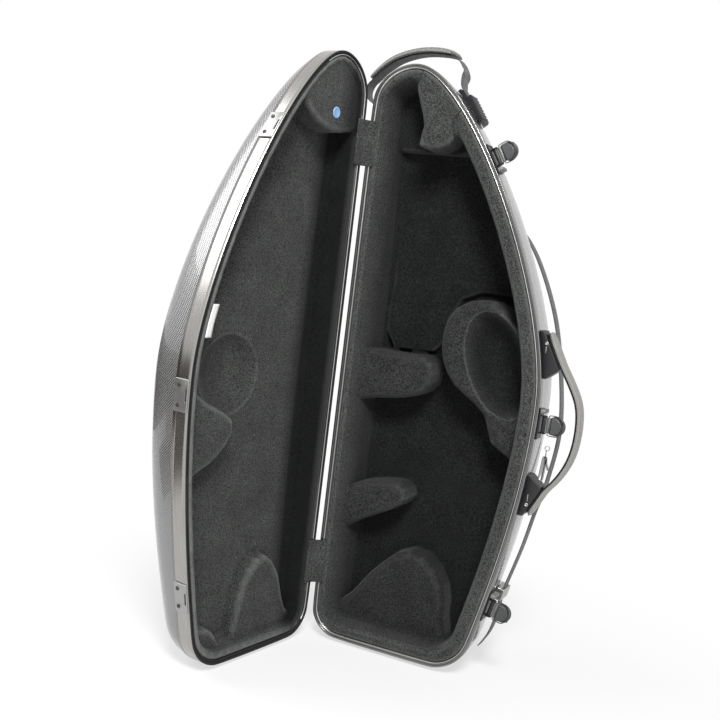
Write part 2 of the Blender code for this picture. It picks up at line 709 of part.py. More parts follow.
def rim(name, band, side):
    face = MATING_GAP / 2
    bead_seat = LIP_WIDTH + GROOVE_WIDTH
    floor = face + 2 * BEAD_RADIUS + SEAT_GAP
    inner_leg = SHELL_INSET + SHELL_WALL + SEAT_GAP
    section = [(0, face), (0, band), (LEG_WALL, band), (LEG_WALL, HEAD_DEPTH), (inner_leg, HEAD_DEPTH),
               (inner_leg, INNER_LEG), (HEAD_WIDTH, INNER_LEG), (HEAD_WIDTH, floor), (bead_seat, floor),
               (bead_seat, face + GROOVE_DEPTH), (LIP_WIDTH, face + GROOVE_DEPTH), (LIP_WIDTH, face)]
    levels = [(q, 0.0, fixed(w)) for q, w in section]
    return add(name, loft(name, ring_at(levels, side), side, closed=True), EDGE_METAL,
               lid_hinge if side < 0 else None)


base_rim = rim("base_rim", BASE_BAND, 1)
lid_rim = rim("lid_rim", LID_BAND, -1)


def bead(name, side):
    centre_q = (LIP_WIDTH + GROOVE_WIDTH + HEAD_WIDTH) / 2
    centre_w = MATING_GAP / 2 + BEAD_RADIUS
    section = [(centre_q + BEAD_RADIUS * math.cos(k * math.pi / 3),
                centre_w + BEAD_RADIUS * math.sin(k * math.pi / 3)) for k in range(6)]
    levels = [(q, 0.0, fixed(w)) for q, w in section]
    return add(name, loft(name, ring_at(levels, side), side, closed=True), BEAD_METAL,
               lid_hinge if side < 0 else None)


base_bead = bead("base_bead", 1)
lid_bead = bead("lid_bead", -1)


# Liners: foam under plush, moulded to the shell outside, with a lip, a wall and a floor

def hollow_levels(floor_at, wall, lip, lip_round, gap=0.0):
    """Levels of a liner's open side, or of the room that it leaves when a gap is given."""
    start = HEAD_WIDTH + SEAT_GAP + gap
    level = LIP_LEVEL - gap
    flat = sided(start + lip[0] - lip_round[0], start + lip[1] - lip_round[1])
    half = sided(start + lip[0] - lip_round[0] * 0.3, start + lip[1] - lip_round[1] * 0.3)
    full = sided(start + lip[0], start + lip[1])
    middle_round = (lip_round[0] + lip_round[1]) / 2
    levels = [(flat, 0.0, fixed(level)), (half, 0.0, fixed(level + middle_round * 0.3)),
              (full, 0.0, fixed(level + middle_round))]
    levels += [(wall + gap, 0.0, lambda height: floor_at(height) - FLOOR_ROUND - gap),
               (wall + gap + FLOOR_ROUND, 0.0, lambda height: floor_at(height) - gap),
               (wall + gap + FLOOR_ROUND, 0.5, lambda height: floor_at(height) - gap)]
    return levels


def liner(name, depth_at, floor_at, wall, lip, lip_round, side):
    to_shell = SHELL_WALL + LINER_CLEARANCE
    past_leg = HEAD_WIDTH + SEAT_GAP
    step = INNER_LEG + SEAT_GAP
    levels = shell_levels(depth_at, to_shell)[::-1]
    levels += [(SHELL_INSET + to_shell, 0.0, fixed(step)), (past_leg, 0.0, fixed(step)),
               (past_leg, 0.0, fixed(LIP_LEVEL + 0.002)), (past_leg + 0.0015, 0.0, fixed(LIP_LEVEL))]
    levels += hollow_levels(floor_at, wall, lip, lip_round)
    rings = ring_at(levels, side)
    return add(name, loft(name, rings, side, fill_ends=(True, True)), PLUSH, lid_hinge if side < 0 else None)


def room(name, floor_at, wall, lip, lip_round, side):
    """The free space in a liner as a cutter, a seat gap smaller all round."""
    levels = hollow_levels(floor_at, wall, lip, lip_round, SEAT_GAP)
    levels.insert(0, (levels[0][0], 0.0, fixed(0.0)))
    mesh = loft(name, ring_at(levels, side), side, fill_ends=(True, True))
    return as_cutter(add(name, mesh, PLUSH, lid_hinge if side < 0 else None))


base_liner = liner("base_liner", base_depth, base_floor, BASE_LINER_WALL, BASE_LIP, BASE_LIP_ROUND, 1)
lid_liner = liner("lid_liner", lid_depth, lid_floor, LID_LINER_WALL, LID_LIP, LID_LIP_ROUND, -1)
base_room = room("base_room", base_floor, BASE_LINER_WALL, BASE_LIP, BASE_LIP_ROUND, 1)
lid_room = room("lid_room", lid_floor, LID_LINER_WALL, LID_LIP, LID_LIP_ROUND, -1)


# Foam forms: an outline in the case's plane raised from the floor, with rounded shoulders

def closed_curve(points, count):
    """Evenly stepped points on a smooth closed curve through the given points."""
    dense = []
    total = len(points)
    for k in range(total):
        a, b, c, d = (Vector(points[(k + step) % total]) for step in (-1, 0, 1, 2))
        for step in range(12):
            t = step / 12
            dense.append(0.5 * (2 * b + (c - a) * t + (2 * a - 5 * b + 4 * c - d) * t ** 2
                                + (3 * b - a - 3 * c + d) * t ** 3))
    runs = [0.0]
    for k in range(len(dense)):
        runs.append(runs[-1] + (dense[(k + 1) % len(dense)] - dense[k]).length)
    picked = []
    for k in range(count):
        target = runs[-1] * k / count
        index = max(j for j in range(len(dense)) if runs[j] <= target)
        share = (target - runs[index]) / (runs[index + 1] - runs[index])
        picked.append(dense[index].lerp(dense[(index + 1) % len(dense)], share))
    return picked


def foam_form(name, points, top, deep, shoulder, side, count=FORM_POINTS, hollow=None):
    """A foam form from a depth up to its top level, trimmed to the room in the liner."""
    curve = closed_curve(points, count)
    area = sum(curve[k - 1].x * curve[k].y - curve[k].x * curve[k - 1].y for k in range(count))
    if area < 0:
        curve.reverse()
    inward = []
    for k in range(count):
        before = turned_in(curve[k] - curve[k - 1])
        after = turned_in(curve[(k + 1) % count] - curve[k])
        inward.append((before + after).normalized())
    bm = bmesh.new()
    rows = [[bm.verts.new(place(point.x, point.y, deep, side)) for point in curve]]
    for angle in (0, 35, 65, 90):
        step = shoulder * (1 - math.cos(math.radians(angle)))
        level = top + shoulder * (1 - math.sin(math.radians(angle)))
        rows.append([bm.verts.new(place(point.x + way.x * step, point.y + way.y * step, level, side))
                     for point, way in zip(curve, inward)])
    for first, second in zip(rows, rows[1:]):
        for k in range(count):
            after = (k + 1) % count
            bm.faces.new((first[k], first[after], second[after], second[k]))
    bm.faces.new(rows[0])
    bm.faces.new(rows[-1])
    made = add(name, finish_mesh(name, bm), PLUSH, lid_hinge if side < 0 else None)
    combine(made, lid_room if side < 0 else base_room, "INTERSECT")
    if hollow:
        combine(made, hollow, "DIFFERENCE")
    return made


def bowl_cutter(name, centre, lean, sizes, side):
    """An ellipsoid that hollows a foam form, with its long axis leaning in the case's plane."""
    bm = bmesh.new()
    turn = Matrix.Rotation(lean, 4, "Y") @ Matrix.Diagonal((*sizes, 1))
    bmesh.ops.create_uvsphere(bm, u_segments=20, v_segments=12, radius=1.0,
                              matrix=Matrix.Translation(place(*centre, side)) @ turn)
    return as_cutter(add(name, finish_mesh(name, bm), PLUSH, lid_hinge if side < 0 else None))


foam_form("neck_shelf", NECK_SHELF, SHELF_LEVEL, BASE_FORM_ROOT, CRISP_SHOULDER, 1)
foam_form("neck_block", NECK_BLOCK, NECK_BLOCK_TOP, SHELF_LEVEL - SEAT_GAP, SMALL_SHOULDER, 1)
foam_form("floor_panel", FLOOR_PANEL, FLOOR_PANEL_TOP, BASE_FORM_ROOT, CRISP_SHOULDER, 1)
bell_hollow = bowl_cutter("bell_hollow", BELL_HOLLOW_AT, BELL_HOLLOW_LEAN, BELL_HOLLOW_SIZE, 1)
foam_form("bell_cup", BELL_CUP, BELL_CUP_TOP, BASE_FORM_ROOT, BROAD_SHOULDER, 1, 34, bell_hollow)
foam_form("body_pad_upper", UPPER_PAD, BODY_PAD_TOP, BASE_FORM_ROOT, FULL_SHOULDER, 1)
foam_form("body_pad_lower", LOWER_PAD, BODY_PAD_TOP, BASE_FORM_ROOT, FULL_SHOULDER, 1)
foam_form("bow_cradle", BOW_CRADLE, BOW_CRADLE_TOP, BASE_FORM_ROOT, BROAD_SHOULDER, 1)
foam_form("lid_top_block", LID_TOP_BLOCK, LID_TOP_BLOCK_TOP, LID_FORM_ROOT, SMALL_SHOULDER, -1)
foam_form("lid_wedge", LID_WEDGE, LID_WEDGE_TOP, LID_FORM_ROOT, SMALL_SHOULDER, -1, 20)
foam_form("lid_bow_mound", LID_BOW_MOUND, LID_BOW_MOUND_TOP, LID_FORM_ROOT, FULL_SHOULDER, -1)
foam_form("lid_corner_pad", LID_CORNER_PAD, LID_CORNER_PAD_TOP, LID_FORM_ROOT, SMALL_SHOULDER, -1, 16)
combine(lid_liner, bowl_cutter("lid_bell_dish", LID_DISH_AT, 0.0, LID_DISH_SIZE, -1), "DIFFERENCE")


# Hinges: two three-knuckle hinges on the bands' outer faces, the base leaf with the outer knuckles

def knuckle(name, low, high):
    return rod_mesh(name, KNUCKLE_RADIUS, (0, 0, low), (0, 0, high), 18)


LEAF_FACE = SPINE_OFFSET - SEAT_GAP
end_low = MIDDLE_KNUCKLE / 2 + KNUCKLE_GAP
end_high = HINGE_LENGTH / 2
for label, height in zip(("upper", "lower"), HINGE_HEIGHTS):
    centre = Matrix.Translation((0, 0, height + FOOT_HEIGHT))
    bore = rod_mesh("bore", PIN_RADIUS + PIVOT_GAP, (0, 0, -end_high - 0.002), (0, 0, end_high + 0.002), 18)
    room_middle = rod_mesh("room", KNUCKLE_RADIUS + SEAT_GAP, (0, 0, -end_low), (0, 0, end_low), 24)
    rooms_ends = [rod_mesh("room", KNUCKLE_RADIUS + SEAT_GAP, (0, 0, side * MIDDLE_KNUCKLE / 2),
                           (0, 0, side * (end_high + 0.001)), 24) for side in (-1, 1)]
    base_leaf = box_mesh("leaf", (LEAF_FACE - LEAF_THICKNESS, SEAT_GAP, -end_high),
                         (LEAF_FACE, BASE_LEAF_WIDTH, end_high))
    lid_leaf = box_mesh("leaf", (LEAF_FACE - LEAF_THICKNESS, -LID_LEAF_WIDTH, -end_high),
                        (LEAF_FACE, -SEAT_GAP, end_high))
    outer_knuckles = [knuckle("knuckle", side * end_low, side * end_high) for side in (-1, 1)]
    pin = rod_mesh("pin", PIN_RADIUS, (0, 0, -end_high - PIN_HEAD), (0, 0, end_high + PIN_HEAD), 14)
    solid("hinge_leaf_base_" + label, STEEL, [base_leaf] + outer_knuckles, [room_middle], None, centre,
          late=[pin])
    solid("hinge_leaf_lid_" + label, STEEL, [lid_leaf], rooms_ends, lid_hinge, centre,
          late=[knuckle("knuckle", -MIDDLE_KNUCKLE / 2, MIDDLE_KNUCKLE / 2)], late_cuts=[bore])


# Plush flaps that cover the hinges inside, fixed on the base liner's lip

for label, height in zip(("upper", "lower"), HINGE_HEIGHTS):
    start = SPINE_OFFSET + FLAP_FROM
    low = (start, LIP_LEVEL - SEAT_GAP - FLAP_THICKNESS, height + FOOT_HEIGHT - FLAP_LENGTH / 2)
    high = (start + FLAP_WIDTH, LIP_LEVEL - SEAT_GAP, height + FOOT_HEIGHT + FLAP_LENGTH / 2)
    add("hinge_flap_" + label, box_mesh("flap", low, high), PLUSH)


# Draw latches: a plate with ears and a cast block, a lever on its pin, a plastic grip and a wire bail

def ear_mesh(low, high):
    """A round-topped ear about the lever pin, standing on the plate."""
    points = [(0.001, LATCH_PIN_DEEP + LATCH_EAR_RADIUS), (0.001, LATCH_PIN_DEEP - LATCH_EAR_RADIUS)]
    points += [(LATCH_PIN_OUT + LATCH_EAR_RADIUS * math.sin(math.radians(angle)),
                LATCH_PIN_DEEP - LATCH_EAR_RADIUS * math.cos(math.radians(angle)))
               for angle in range(0, 181, 30)]
    return prism_mesh("ear", points, low, high)


def bail_points():
    """Half of the bail's wire, from its foot in the lever to the middle of its bar."""
    return [(0, 0, BAIL_HALF - BAIL_FOOT), (0, 0, BAIL_HALF - 0.001), (0.001, 0, BAIL_HALF),
            (BAIL_STRAIGHT, -0.0002, BAIL_HALF), (BAIL_STRAIGHT + 0.002, -0.0004, BAIL_HALF - 0.0012),
            (BAIL_REACH - 0.0022, -0.0015, BAIL_BAR_HALF + 0.0010),
            (BAIL_REACH - 0.0005, -0.0026, BAIL_BAR_HALF + 0.0003),
            (BAIL_REACH, -0.0042, BAIL_BAR_HALF), (BAIL_REACH, -BAIL_DROP, BAIL_BAR_HALF - 0.0006)]


for label, (height, block_side) in LATCHES.items():
    edge = edge_matrix(run_at_height(height, "free"), 0.0, 1)
    plate = box_mesh("plate", (-BRACKET_ROOT, LATCH_PLATE_FROM, -LATCH_PLATE_HALF),
                     (LATCH_PLATE_TOP, LATCH_PLATE_DEEP, LATCH_PLATE_HALF), 0.0006)
    ears = [ear_mesh(*sorted((side * LATCH_EAR_AT, side * (LATCH_EAR_AT + LATCH_EAR_WALL)))) for side in (-1, 1)]
    block_ends = sorted((block_side * LATCH_BLOCK_AT, block_side * (LATCH_PLATE_HALF - 0.0004)))
    block = box_mesh("block", (-BRACKET_ROOT, LATCH_PLATE_FROM + 0.0008, block_ends[0]),
                     (LATCH_BLOCK_HEIGHT, LATCH_PLATE_DEEP - 0.0008, block_ends[1]), 0.0012, 2)
    pin = rod_mesh("pin", LATCH_PIN_RADIUS, (LATCH_PIN_OUT, LATCH_PIN_DEEP, -LATCH_EAR_AT - 0.001),
                   (LATCH_PIN_OUT, LATCH_PIN_DEEP, LATCH_EAR_AT + 0.001), 14)
    solid("latch_plate_" + label, BLACK_STEEL, [plate] + ears + [block, pin], [], None, edge,
          trims=[base_envelope])

    pivot = edge @ Matrix.Translation((LATCH_PIN_OUT, LATCH_PIN_DEEP, 0))
    half = LATCH_EAR_AT - SEAT_GAP
    barrel = rod_mesh("barrel", LEVER_BARREL, (0, 0, -half), (0, 0, half), 20)
    boss = rod_mesh("boss", BAIL_BOSS, (BAIL_PIVOT, 0, -LEVER_HALF), (BAIL_PIVOT, 0, LEVER_HALF), 14)
    arm = box_mesh("arm", (LEVER_BARREL * 0.6, -LEVER_ARM / 2, -LEVER_HALF),
                   (LEVER_TONGUE_FROM, LEVER_ARM / 2, LEVER_HALF))
    tongue = box_mesh("tongue", (LEVER_TONGUE_FROM - 0.001, -LEVER_ARM / 2, -LEVER_TONGUE_HALF),
                      (LEVER_TONGUE_TO, LEVER_ARM / 2, LEVER_TONGUE_HALF))
    pin_bore = rod_mesh("bore", LATCH_PIN_RADIUS + PIVOT_GAP, (0, 0, -half - 0.001), (0, 0, half + 0.001), 14)
    foot_bore = rod_mesh("bore", BAIL_WIRE + PIVOT_GAP, (BAIL_PIVOT, 0, -half - 0.001),
                         (BAIL_PIVOT, 0, half + 0.001), 12)
    lever = solid("latch_lever_" + label, STEEL, [barrel, boss, arm, tongue], [pin_bore, foot_bore], None, pivot)

    grip_start = LEVER_TONGUE_FROM + SEAT_GAP
    grip_points = [(grip_start, -GRIP_HALF + 0.0012), (grip_start + 0.0012, -GRIP_HALF)]
    grip_points += [(GRIP_REACH - GRIP_HALF * 0.45 + GRIP_HALF * 0.45 * math.sin(math.radians(angle)),
                     -GRIP_HALF * math.cos(math.radians(angle))) for angle in range(0, 181, 20)]
    grip_points += [(grip_start + 0.0012, GRIP_HALF), (grip_start, GRIP_HALF - 0.0012)]
    grip = prism_mesh("grip", grip_points, -GRIP_THICKNESS / 2, GRIP_THICKNESS / 2, 0.0010)
    grip.transform(Matrix.Rotation(math.radians(90), 4, "X"))
    pocket = box_mesh("pocket", (grip_start - 0.002, -LEVER_ARM / 2 - SEAT_GAP, -LEVER_TONGUE_HALF - SEAT_GAP),
                      (LEVER_TONGUE_TO + SEAT_GAP, LEVER_ARM / 2 + SEAT_GAP, LEVER_TONGUE_HALF + SEAT_GAP))
    solid("latch_grip_" + label, BLACK_PLASTIC, [grip], [pocket], lever, Matrix())

    half_wire = bail_points()
    wire = half_wire + [(x, y, -z) for x, y, z in reversed(half_wire)]
    bail = wire_mesh("bail", wire, BAIL_WIRE, 1)
    add("latch_bail_" + label, bail, STEEL, lever, Matrix.Translation((BAIL_PIVOT, 0, 0)))

    strike = box_mesh("strike", (-BRACKET_ROOT, -STRIKE_FROM - STRIKE_WIDTH, -STRIKE_HALF),
                      (SEAT_GAP + STRIKE_THICKNESS, -STRIKE_FROM, STRIKE_HALF), 0.0005)
    slot_end = -STRIKE_FROM - STRIKE_LIP
    slot = box_mesh("slot", (-BRACKET_ROOT, slot_end - STRIKE_SLOT_WIDTH, -STRIKE_SLOT_HALF),
                    (0.01, slot_end, STRIKE_SLOT_HALF))
    solid("latch_strike_" + label, STEEL, [strike], [slot], lid_hinge, edge, trims=[lid_envelope])


# Handle: wedge brackets in the side view, extruded into the depth, and a strap bowed between them

def from_edge(out, height):
    """Point in u and v at a distance outside the free edge, straight across from a height."""
    return along(run_at_height(height, "free"))[0] + Vector((out, 0))


def bracket(name, corners):
    points = [from_edge(-BRACKET_ROOT * 2, corners[0][0])]
    points += [from_edge(out, height) for height, out in corners]
    points += [from_edge(-BRACKET_ROOT * 2, corners[-1][0])]
    mesh = prism_mesh(name, [(point.x, point.y + FOOT_HEIGHT) for point in points], -BRACKET_WIDTH / 2,
                      BRACKET_WIDTH / 2, 0.0010)
    turn = Matrix.Rotation(math.radians(90), 4, "X")
    deep = Matrix.Translation((0, BRACKET_DEEP + BRACKET_WIDTH / 2, 0))
    return solid(name, BLACK_PLASTIC, [mesh], [], None, deep @ turn, trims=[base_envelope])


bracket("handle_bracket_upper", UPPER_BRACKET)
bracket("handle_bracket_lower", LOWER_BRACKET)


def handle_line():
    """The handle's line from the upper bracket round the bow to the lower one, on the brackets' faces."""
    line = []
    for corners, order in ((UPPER_BRACKET, 1), (LOWER_BRACKET, -1)):
        thin, thick = from_edge(corners[0][1], corners[0][0]), from_edge(corners[1][1], corners[1][0])
        slope = (thick - thin).normalized()
        line.append([thin + slope * HANDLE_END, thin.lerp(thick, 0.55), thick][::order])
    bow = [from_edge(out, height) for out, height in HANDLE_BOW]
    return [(place(point.x, point.y, HANDLE_DEEP, 1), Vector((0, 1, 0))) for point in line[0] + bow + line[1]]


grip_raised = HANDLE_SEAT + HANDLE_GRIP / 2
bow_raised = HANDLE_SEAT + HANDLE_GRIP + SEAT_GAP + HANDLE_THICKNESS / 2
ribbon("handle_grip", handle_line(), HANDLE_WIDTH - 0.002, HANDLE_GRIP, RUBBER, grip_raised)
ribbon("handle_bow", handle_line(), HANDLE_WIDTH, HANDLE_THICKNESS, HANDLE_GREY, bow_raised)


# Feet: rubber studs under both halves, cut to the shells

def foot(name, u, y, parent, envelope_cut):
    stud = rod_mesh(name, FOOT_RADIUS * FOOT_TAPER, (u, y, 0), (u, y, FOOT_HEIGHT + FOOT_ROOT), 18, FOOT_RADIUS)
    return solid(name, RUBBER, [stud], [], parent, None, trims=[envelope_cut])


for label, (u, w) in BASE_FEET.items():
    foot("foot_base_" + label, u, w, None, base_envelope)
for label, (u, w) in LID_FEET.items():
    foot("foot_lid_" + label, u, -w, lid_hinge, lid_envelope)


# Straps: webbing between two ridged buckles over the top, with a pad on it, and a shoulder strap
# from a plate on the back to a keeper low on the free wall, where its tail hangs down

def buckle(name, place_on_edge, side, upside):
    """A ladder buckle on the wall: a plate, and a ridged wedge that the webbing enters from above."""
    points = [(-BUCKLE_ROOT, BUCKLE_HALF), (BUCKLE_PLATE, BUCKLE_HALF), (BUCKLE_PLATE, BUCKLE_SLOT)]
    low = BUCKLE_PLATE - BUCKLE_HALF
    for k in range(RIDGES):
        for share, depth in ((0.0, 0.0), (0.5, 0.0), (0.6, RIDGE_DEPTH), (0.9, RIDGE_DEPTH)):
            part = (k + share) / RIDGES
            points.append((BUCKLE_RISE + (BUCKLE_LOW - BUCKLE_RISE) * part - depth,
                           BUCKLE_SLOT + (low - BUCKLE_SLOT) * part))
    points += [(BUCKLE_LOW, low), (BUCKLE_PLATE, -BUCKLE_HALF), (-BUCKLE_ROOT, -BUCKLE_HALF)]
    mesh = prism_mesh(name, points, -BUCKLE_WIDTH / 2, BUCKLE_WIDTH / 2, BUCKLE_EDGE)
    turn = Matrix.Rotation(math.radians(90 if upside else -90), 4, "X")
    height, deep = place_on_edge
    edge = edge_matrix(run_at_height(height, side), deep, 1)
    solid(name, STEEL, [mesh], [], None, edge @ turn, trims=[base_envelope])
    on_plate = BUCKLE_PLATE + SEAT_GAP + WEBBING_THICKNESS / 2
    up = 1 if upside else -1
    entry = ((BUCKLE_SLOT + SEAT_GAP, 0), ((BUCKLE_SLOT + BUCKLE_HALF) / 2, 0),
             (BUCKLE_HALF + WEBBING_LEAD, WEBBING_LIFT))
    return [edge @ Vector((on_plate + lift, 0, up * height)) for height, lift in entry]


deepwards = Vector((0, 1, 0))
spine_slot = buckle("strap_buckle_spine", BUCKLE_SPINE, "spine", False)
free_slot = buckle("strap_buckle_free", BUCKLE_FREE, "free", True)
top_stops = [(point, deepwards) for point in spine_slot]
top_stops += [(place(u, CASE_LENGTH - drop, w, 1), deepwards) for u, drop, w in TOP_STRAP]
top_stops += [(point, deepwards) for point in reversed(free_slot)]
ribbon("strap_webbing_top", top_stops, WEBBING_WIDTH, WEBBING_THICKNESS, WEBBING)
ribbon("strap_pad_top", top_stops, PAD_WIDTH, PAD_THICKNESS, PAD_FABRIC,
       WEBBING_THICKNESS / 2 + 2 * SEAT_GAP + PAD_THICKNESS / 2, span=PAD_SPAN, end_thickness=PAD_END_THICKNESS)

plate_u, plate_v = SHOULDER_PLATE_AT
plate_half_u, plate_half_v = SHOULDER_PLATE_HALF
plate_low = place(plate_u - plate_half_u, plate_v - plate_half_v, SHOULDER_PLATE_FROM, 1)
plate_high = place(plate_u + plate_half_u, plate_v + plate_half_v, SHOULDER_PLATE_TO, 1)
shoulder_plate = box_mesh("plate", plate_low, plate_high, BUCKLE_EDGE)
solid("strap_plate_back", BLACK_PLASTIC, [shoulder_plate], [], None, None, trims=[base_envelope])

keeper_height, keeper_deep = KEEPER_AT
keeper_edge = edge_matrix(run_at_height(keeper_height, "free"), keeper_deep, 1)
keeper = box_mesh("keeper", (-BUCKLE_ROOT, -KEEPER_WIDTH / 2, -KEEPER_HALF),
                  (KEEPER_OUT, KEEPER_WIDTH / 2, KEEPER_HALF), BUCKLE_EDGE)
keeper_slot = box_mesh("slot", (KEEPER_SLOT[0], -KEEPER_SLOT_WIDTH / 2, -KEEPER_HALF - KEEPER_LEAD),
                       (KEEPER_SLOT[1], KEEPER_SLOT_WIDTH / 2, KEEPER_HALF + KEEPER_LEAD))
solid("strap_keeper", STEEL, [keeper], [keeper_slot], None, keeper_edge, trims=[base_envelope])

flat_on_back = Vector((0.85, 0, 0.53))
shoulder_stops = []
for index, (out, height, w) in enumerate(SHOULDER_STRAP):
    point = from_edge(out, height)
    shoulder_stops.append((place(point.x, point.y, w, 1), flat_on_back if index < 2 else deepwards))
in_slot = (KEEPER_SLOT[0] + KEEPER_SLOT[1]) / 2
for z in (KEEPER_HALF + KEEPER_LEAD, 0, -KEEPER_HALF - KEEPER_LEAD):
    shoulder_stops.append((keeper_edge @ Vector((in_slot, 0, z)), deepwards))
for out, height, w in STRAP_TAIL:
    point = from_edge(out, height)
    shoulder_stops.append((place(point.x, point.y, w, 1), deepwards))
ribbon("strap_shoulder", shoulder_stops, WEBBING_WIDTH, WEBBING_THICKNESS, WEBBING)
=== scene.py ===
"""Looks of the open tenor saxophone case: woven shells, edge frames, plush fitting, latches and straps."""
import json
import math

import bmesh
import bpy
from mathutils import Matrix, Vector
from mathutils.bvhtree import BVHTree


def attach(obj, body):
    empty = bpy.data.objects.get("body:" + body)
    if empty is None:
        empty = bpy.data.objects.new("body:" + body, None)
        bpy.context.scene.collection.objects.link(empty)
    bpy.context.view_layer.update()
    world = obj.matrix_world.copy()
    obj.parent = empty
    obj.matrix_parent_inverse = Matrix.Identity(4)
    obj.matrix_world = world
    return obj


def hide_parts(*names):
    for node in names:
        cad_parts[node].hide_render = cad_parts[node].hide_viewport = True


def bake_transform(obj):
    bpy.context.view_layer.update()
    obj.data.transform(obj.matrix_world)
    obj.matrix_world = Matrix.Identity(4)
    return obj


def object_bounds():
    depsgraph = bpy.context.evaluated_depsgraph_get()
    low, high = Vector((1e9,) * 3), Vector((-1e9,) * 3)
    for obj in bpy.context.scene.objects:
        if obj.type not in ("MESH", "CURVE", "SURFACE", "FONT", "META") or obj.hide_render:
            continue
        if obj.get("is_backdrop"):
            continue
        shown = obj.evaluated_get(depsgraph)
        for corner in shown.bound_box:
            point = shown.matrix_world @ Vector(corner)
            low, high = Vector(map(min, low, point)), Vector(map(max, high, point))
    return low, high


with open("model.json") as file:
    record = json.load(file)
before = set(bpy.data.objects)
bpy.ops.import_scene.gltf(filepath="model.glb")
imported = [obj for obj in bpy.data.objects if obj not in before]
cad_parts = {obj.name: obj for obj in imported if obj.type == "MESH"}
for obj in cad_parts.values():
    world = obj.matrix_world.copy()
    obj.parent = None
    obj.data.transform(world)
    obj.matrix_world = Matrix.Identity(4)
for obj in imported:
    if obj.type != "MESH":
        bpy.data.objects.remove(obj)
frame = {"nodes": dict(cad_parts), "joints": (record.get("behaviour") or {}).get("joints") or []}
cad_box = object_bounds()


# The camera stands in front and to the right of the case, a little above its middle, and looks into
# both halves. It is placed from the foot of the lid's hinge axis, as everything is, and its lens was
# found from the frame's straight edges and the floor line.

def in_scene(name, data):
    """A new object in the scene."""
    made = bpy.data.objects.new(name, data)
    bpy.context.scene.collection.objects.link(made)
    return made


hinge_joint = next(joint for joint in frame["joints"] if joint["name"] == "lid_hinge")
hinge_line = Vector((hinge_joint["pos_m"][0], hinge_joint["pos_m"][1], 0))
camera_data = bpy.data.cameras.new("photo_camera")
camera_data.lens = 50.06
camera_data.sensor_width = 36
camera = in_scene("photo_camera", camera_data)
bpy.context.scene.camera = camera
camera_spot = hinge_line + Vector((0.658, -1.338, 0.579))
rightward = Vector((0.8947, 0.43, 0.1199))
upward = Vector((-0.1507, 0.038, 0.9878))
backward = Vector((0.4204, -0.902, 0.0989))
turn = Matrix((rightward, upward, backward)).transposed().to_quaternion()
camera.matrix_world = Matrix.Translation(camera_spot) @ turn.to_matrix().to_4x4()
bpy.context.scene.view_settings.view_transform = "Standard"


# The studio: a pale sweep that shows white, with the case's soft shadow on it, under large soft
# lamps. Gloss sees white all round but for the sweep's left and a few grey flags.

def srgb(text):
    """A hex colour as linear light."""
    parts = [int(text[k:k + 2], 16) / 255 for k in (1, 3, 5)]
    return (*[p / 12.92 if p <= 0.04045 else ((p + 0.055) / 1.055) ** 2.4 for p in parts], 1.0)


def add_node(tree, kind, inputs=None, **settings):
    """One shader node, with its properties as settings and values, outputs or nodes as inputs.

    A node stands for its first output in use. A Mix takes its share at 0 and its colours at 6 and 7, and
    a Map Range takes the range that comes in at 1 and 2 and the one that goes out at 3 and 4.
    """
    made = tree.nodes.new(kind)
    for key, value in settings.items():
        setattr(made, key, value)
    for key, value in (inputs or {}).items():
        if isinstance(value, bpy.types.Node):
            value = next(output for output in value.outputs if output.enabled)
        if isinstance(value, bpy.types.NodeSocket):
            tree.links.new(value, made.inputs[key])
        else:
            made.inputs[key].default_value = value
    return made


def new_material(name):
    """An empty material and its node tree."""
    made = bpy.data.materials.new(name)
    made.use_nodes = True
    tree = made.node_tree
    tree.nodes.clear()
    return made, tree


def flat_sheet(name, finish, corner, along, across):
    """A four-cornered sheet from one corner and two of its sides."""
    made = bmesh.new()
    bmesh.ops.create_grid(made, x_segments=1, y_segments=1, size=0.5)
    for vert in made.verts:
        vert.co = corner + Vector(along) * (vert.co.x + 0.5) + Vector(across) * (vert.co.y + 0.5)
    mesh = bpy.data.meshes.new(name)
    made.to_mesh(mesh)
    made.free()
    mesh.materials.append(finish)
    return in_scene(name, mesh)


paper, tree = new_material("matt_paper_sweep")
# Matt paper: plain white to the eye, and to gloss but on the left, where that fades out. It is lit for
# all else, and in part near the case, where it keeps the shadow.
rays = add_node(tree, "ShaderNodeLightPath")
lit = add_node(tree, "ShaderNodeBsdfDiffuse", {"Color": srgb("#f4f4f4")})
white = add_node(tree, "ShaderNodeEmission", {"Color": srgb("#ffffff"), "Strength": 1.0})
spot = add_node(tree, "ShaderNodeTexCoord")
reach = add_node(tree, "ShaderNodeVectorMath", {0: spot.outputs["Object"]}, operation="LENGTH")
fade = add_node(tree, "ShaderNodeMapRange", {
    0: reach, 1: 0.30, 2: 0.80, 3: 0.6, 4: 1.0}, interpolation_type="SMOOTHSTEP")
aside = add_node(tree, "ShaderNodeSeparateXYZ", {0: spot.outputs["Object"]})
right_side = add_node(tree, "ShaderNodeMapRange", {0: aside.outputs["X"], 1: -0.9, 2: -0.1})
mirrored = add_node(tree, "ShaderNodeMath", {
    0: rays.outputs["Is Glossy Ray"], 1: right_side}, operation="MULTIPLY")
seen = add_node(tree, "ShaderNodeMath", {
    0: rays.outputs["Is Camera Ray"], 1: mirrored}, operation="MAXIMUM")
shown = add_node(tree, "ShaderNodeMath", {
    0: seen, 1: rays.outputs["Is Transmission Ray"]}, operation="MAXIMUM")
share = add_node(tree, "ShaderNodeMath", {0: shown, 1: fade}, operation="MULTIPLY")
both = add_node(tree, "ShaderNodeMixShader", {0: share, 1: lit, 2: white})
add_node(tree, "ShaderNodeOutputMaterial", {"Surface": both})

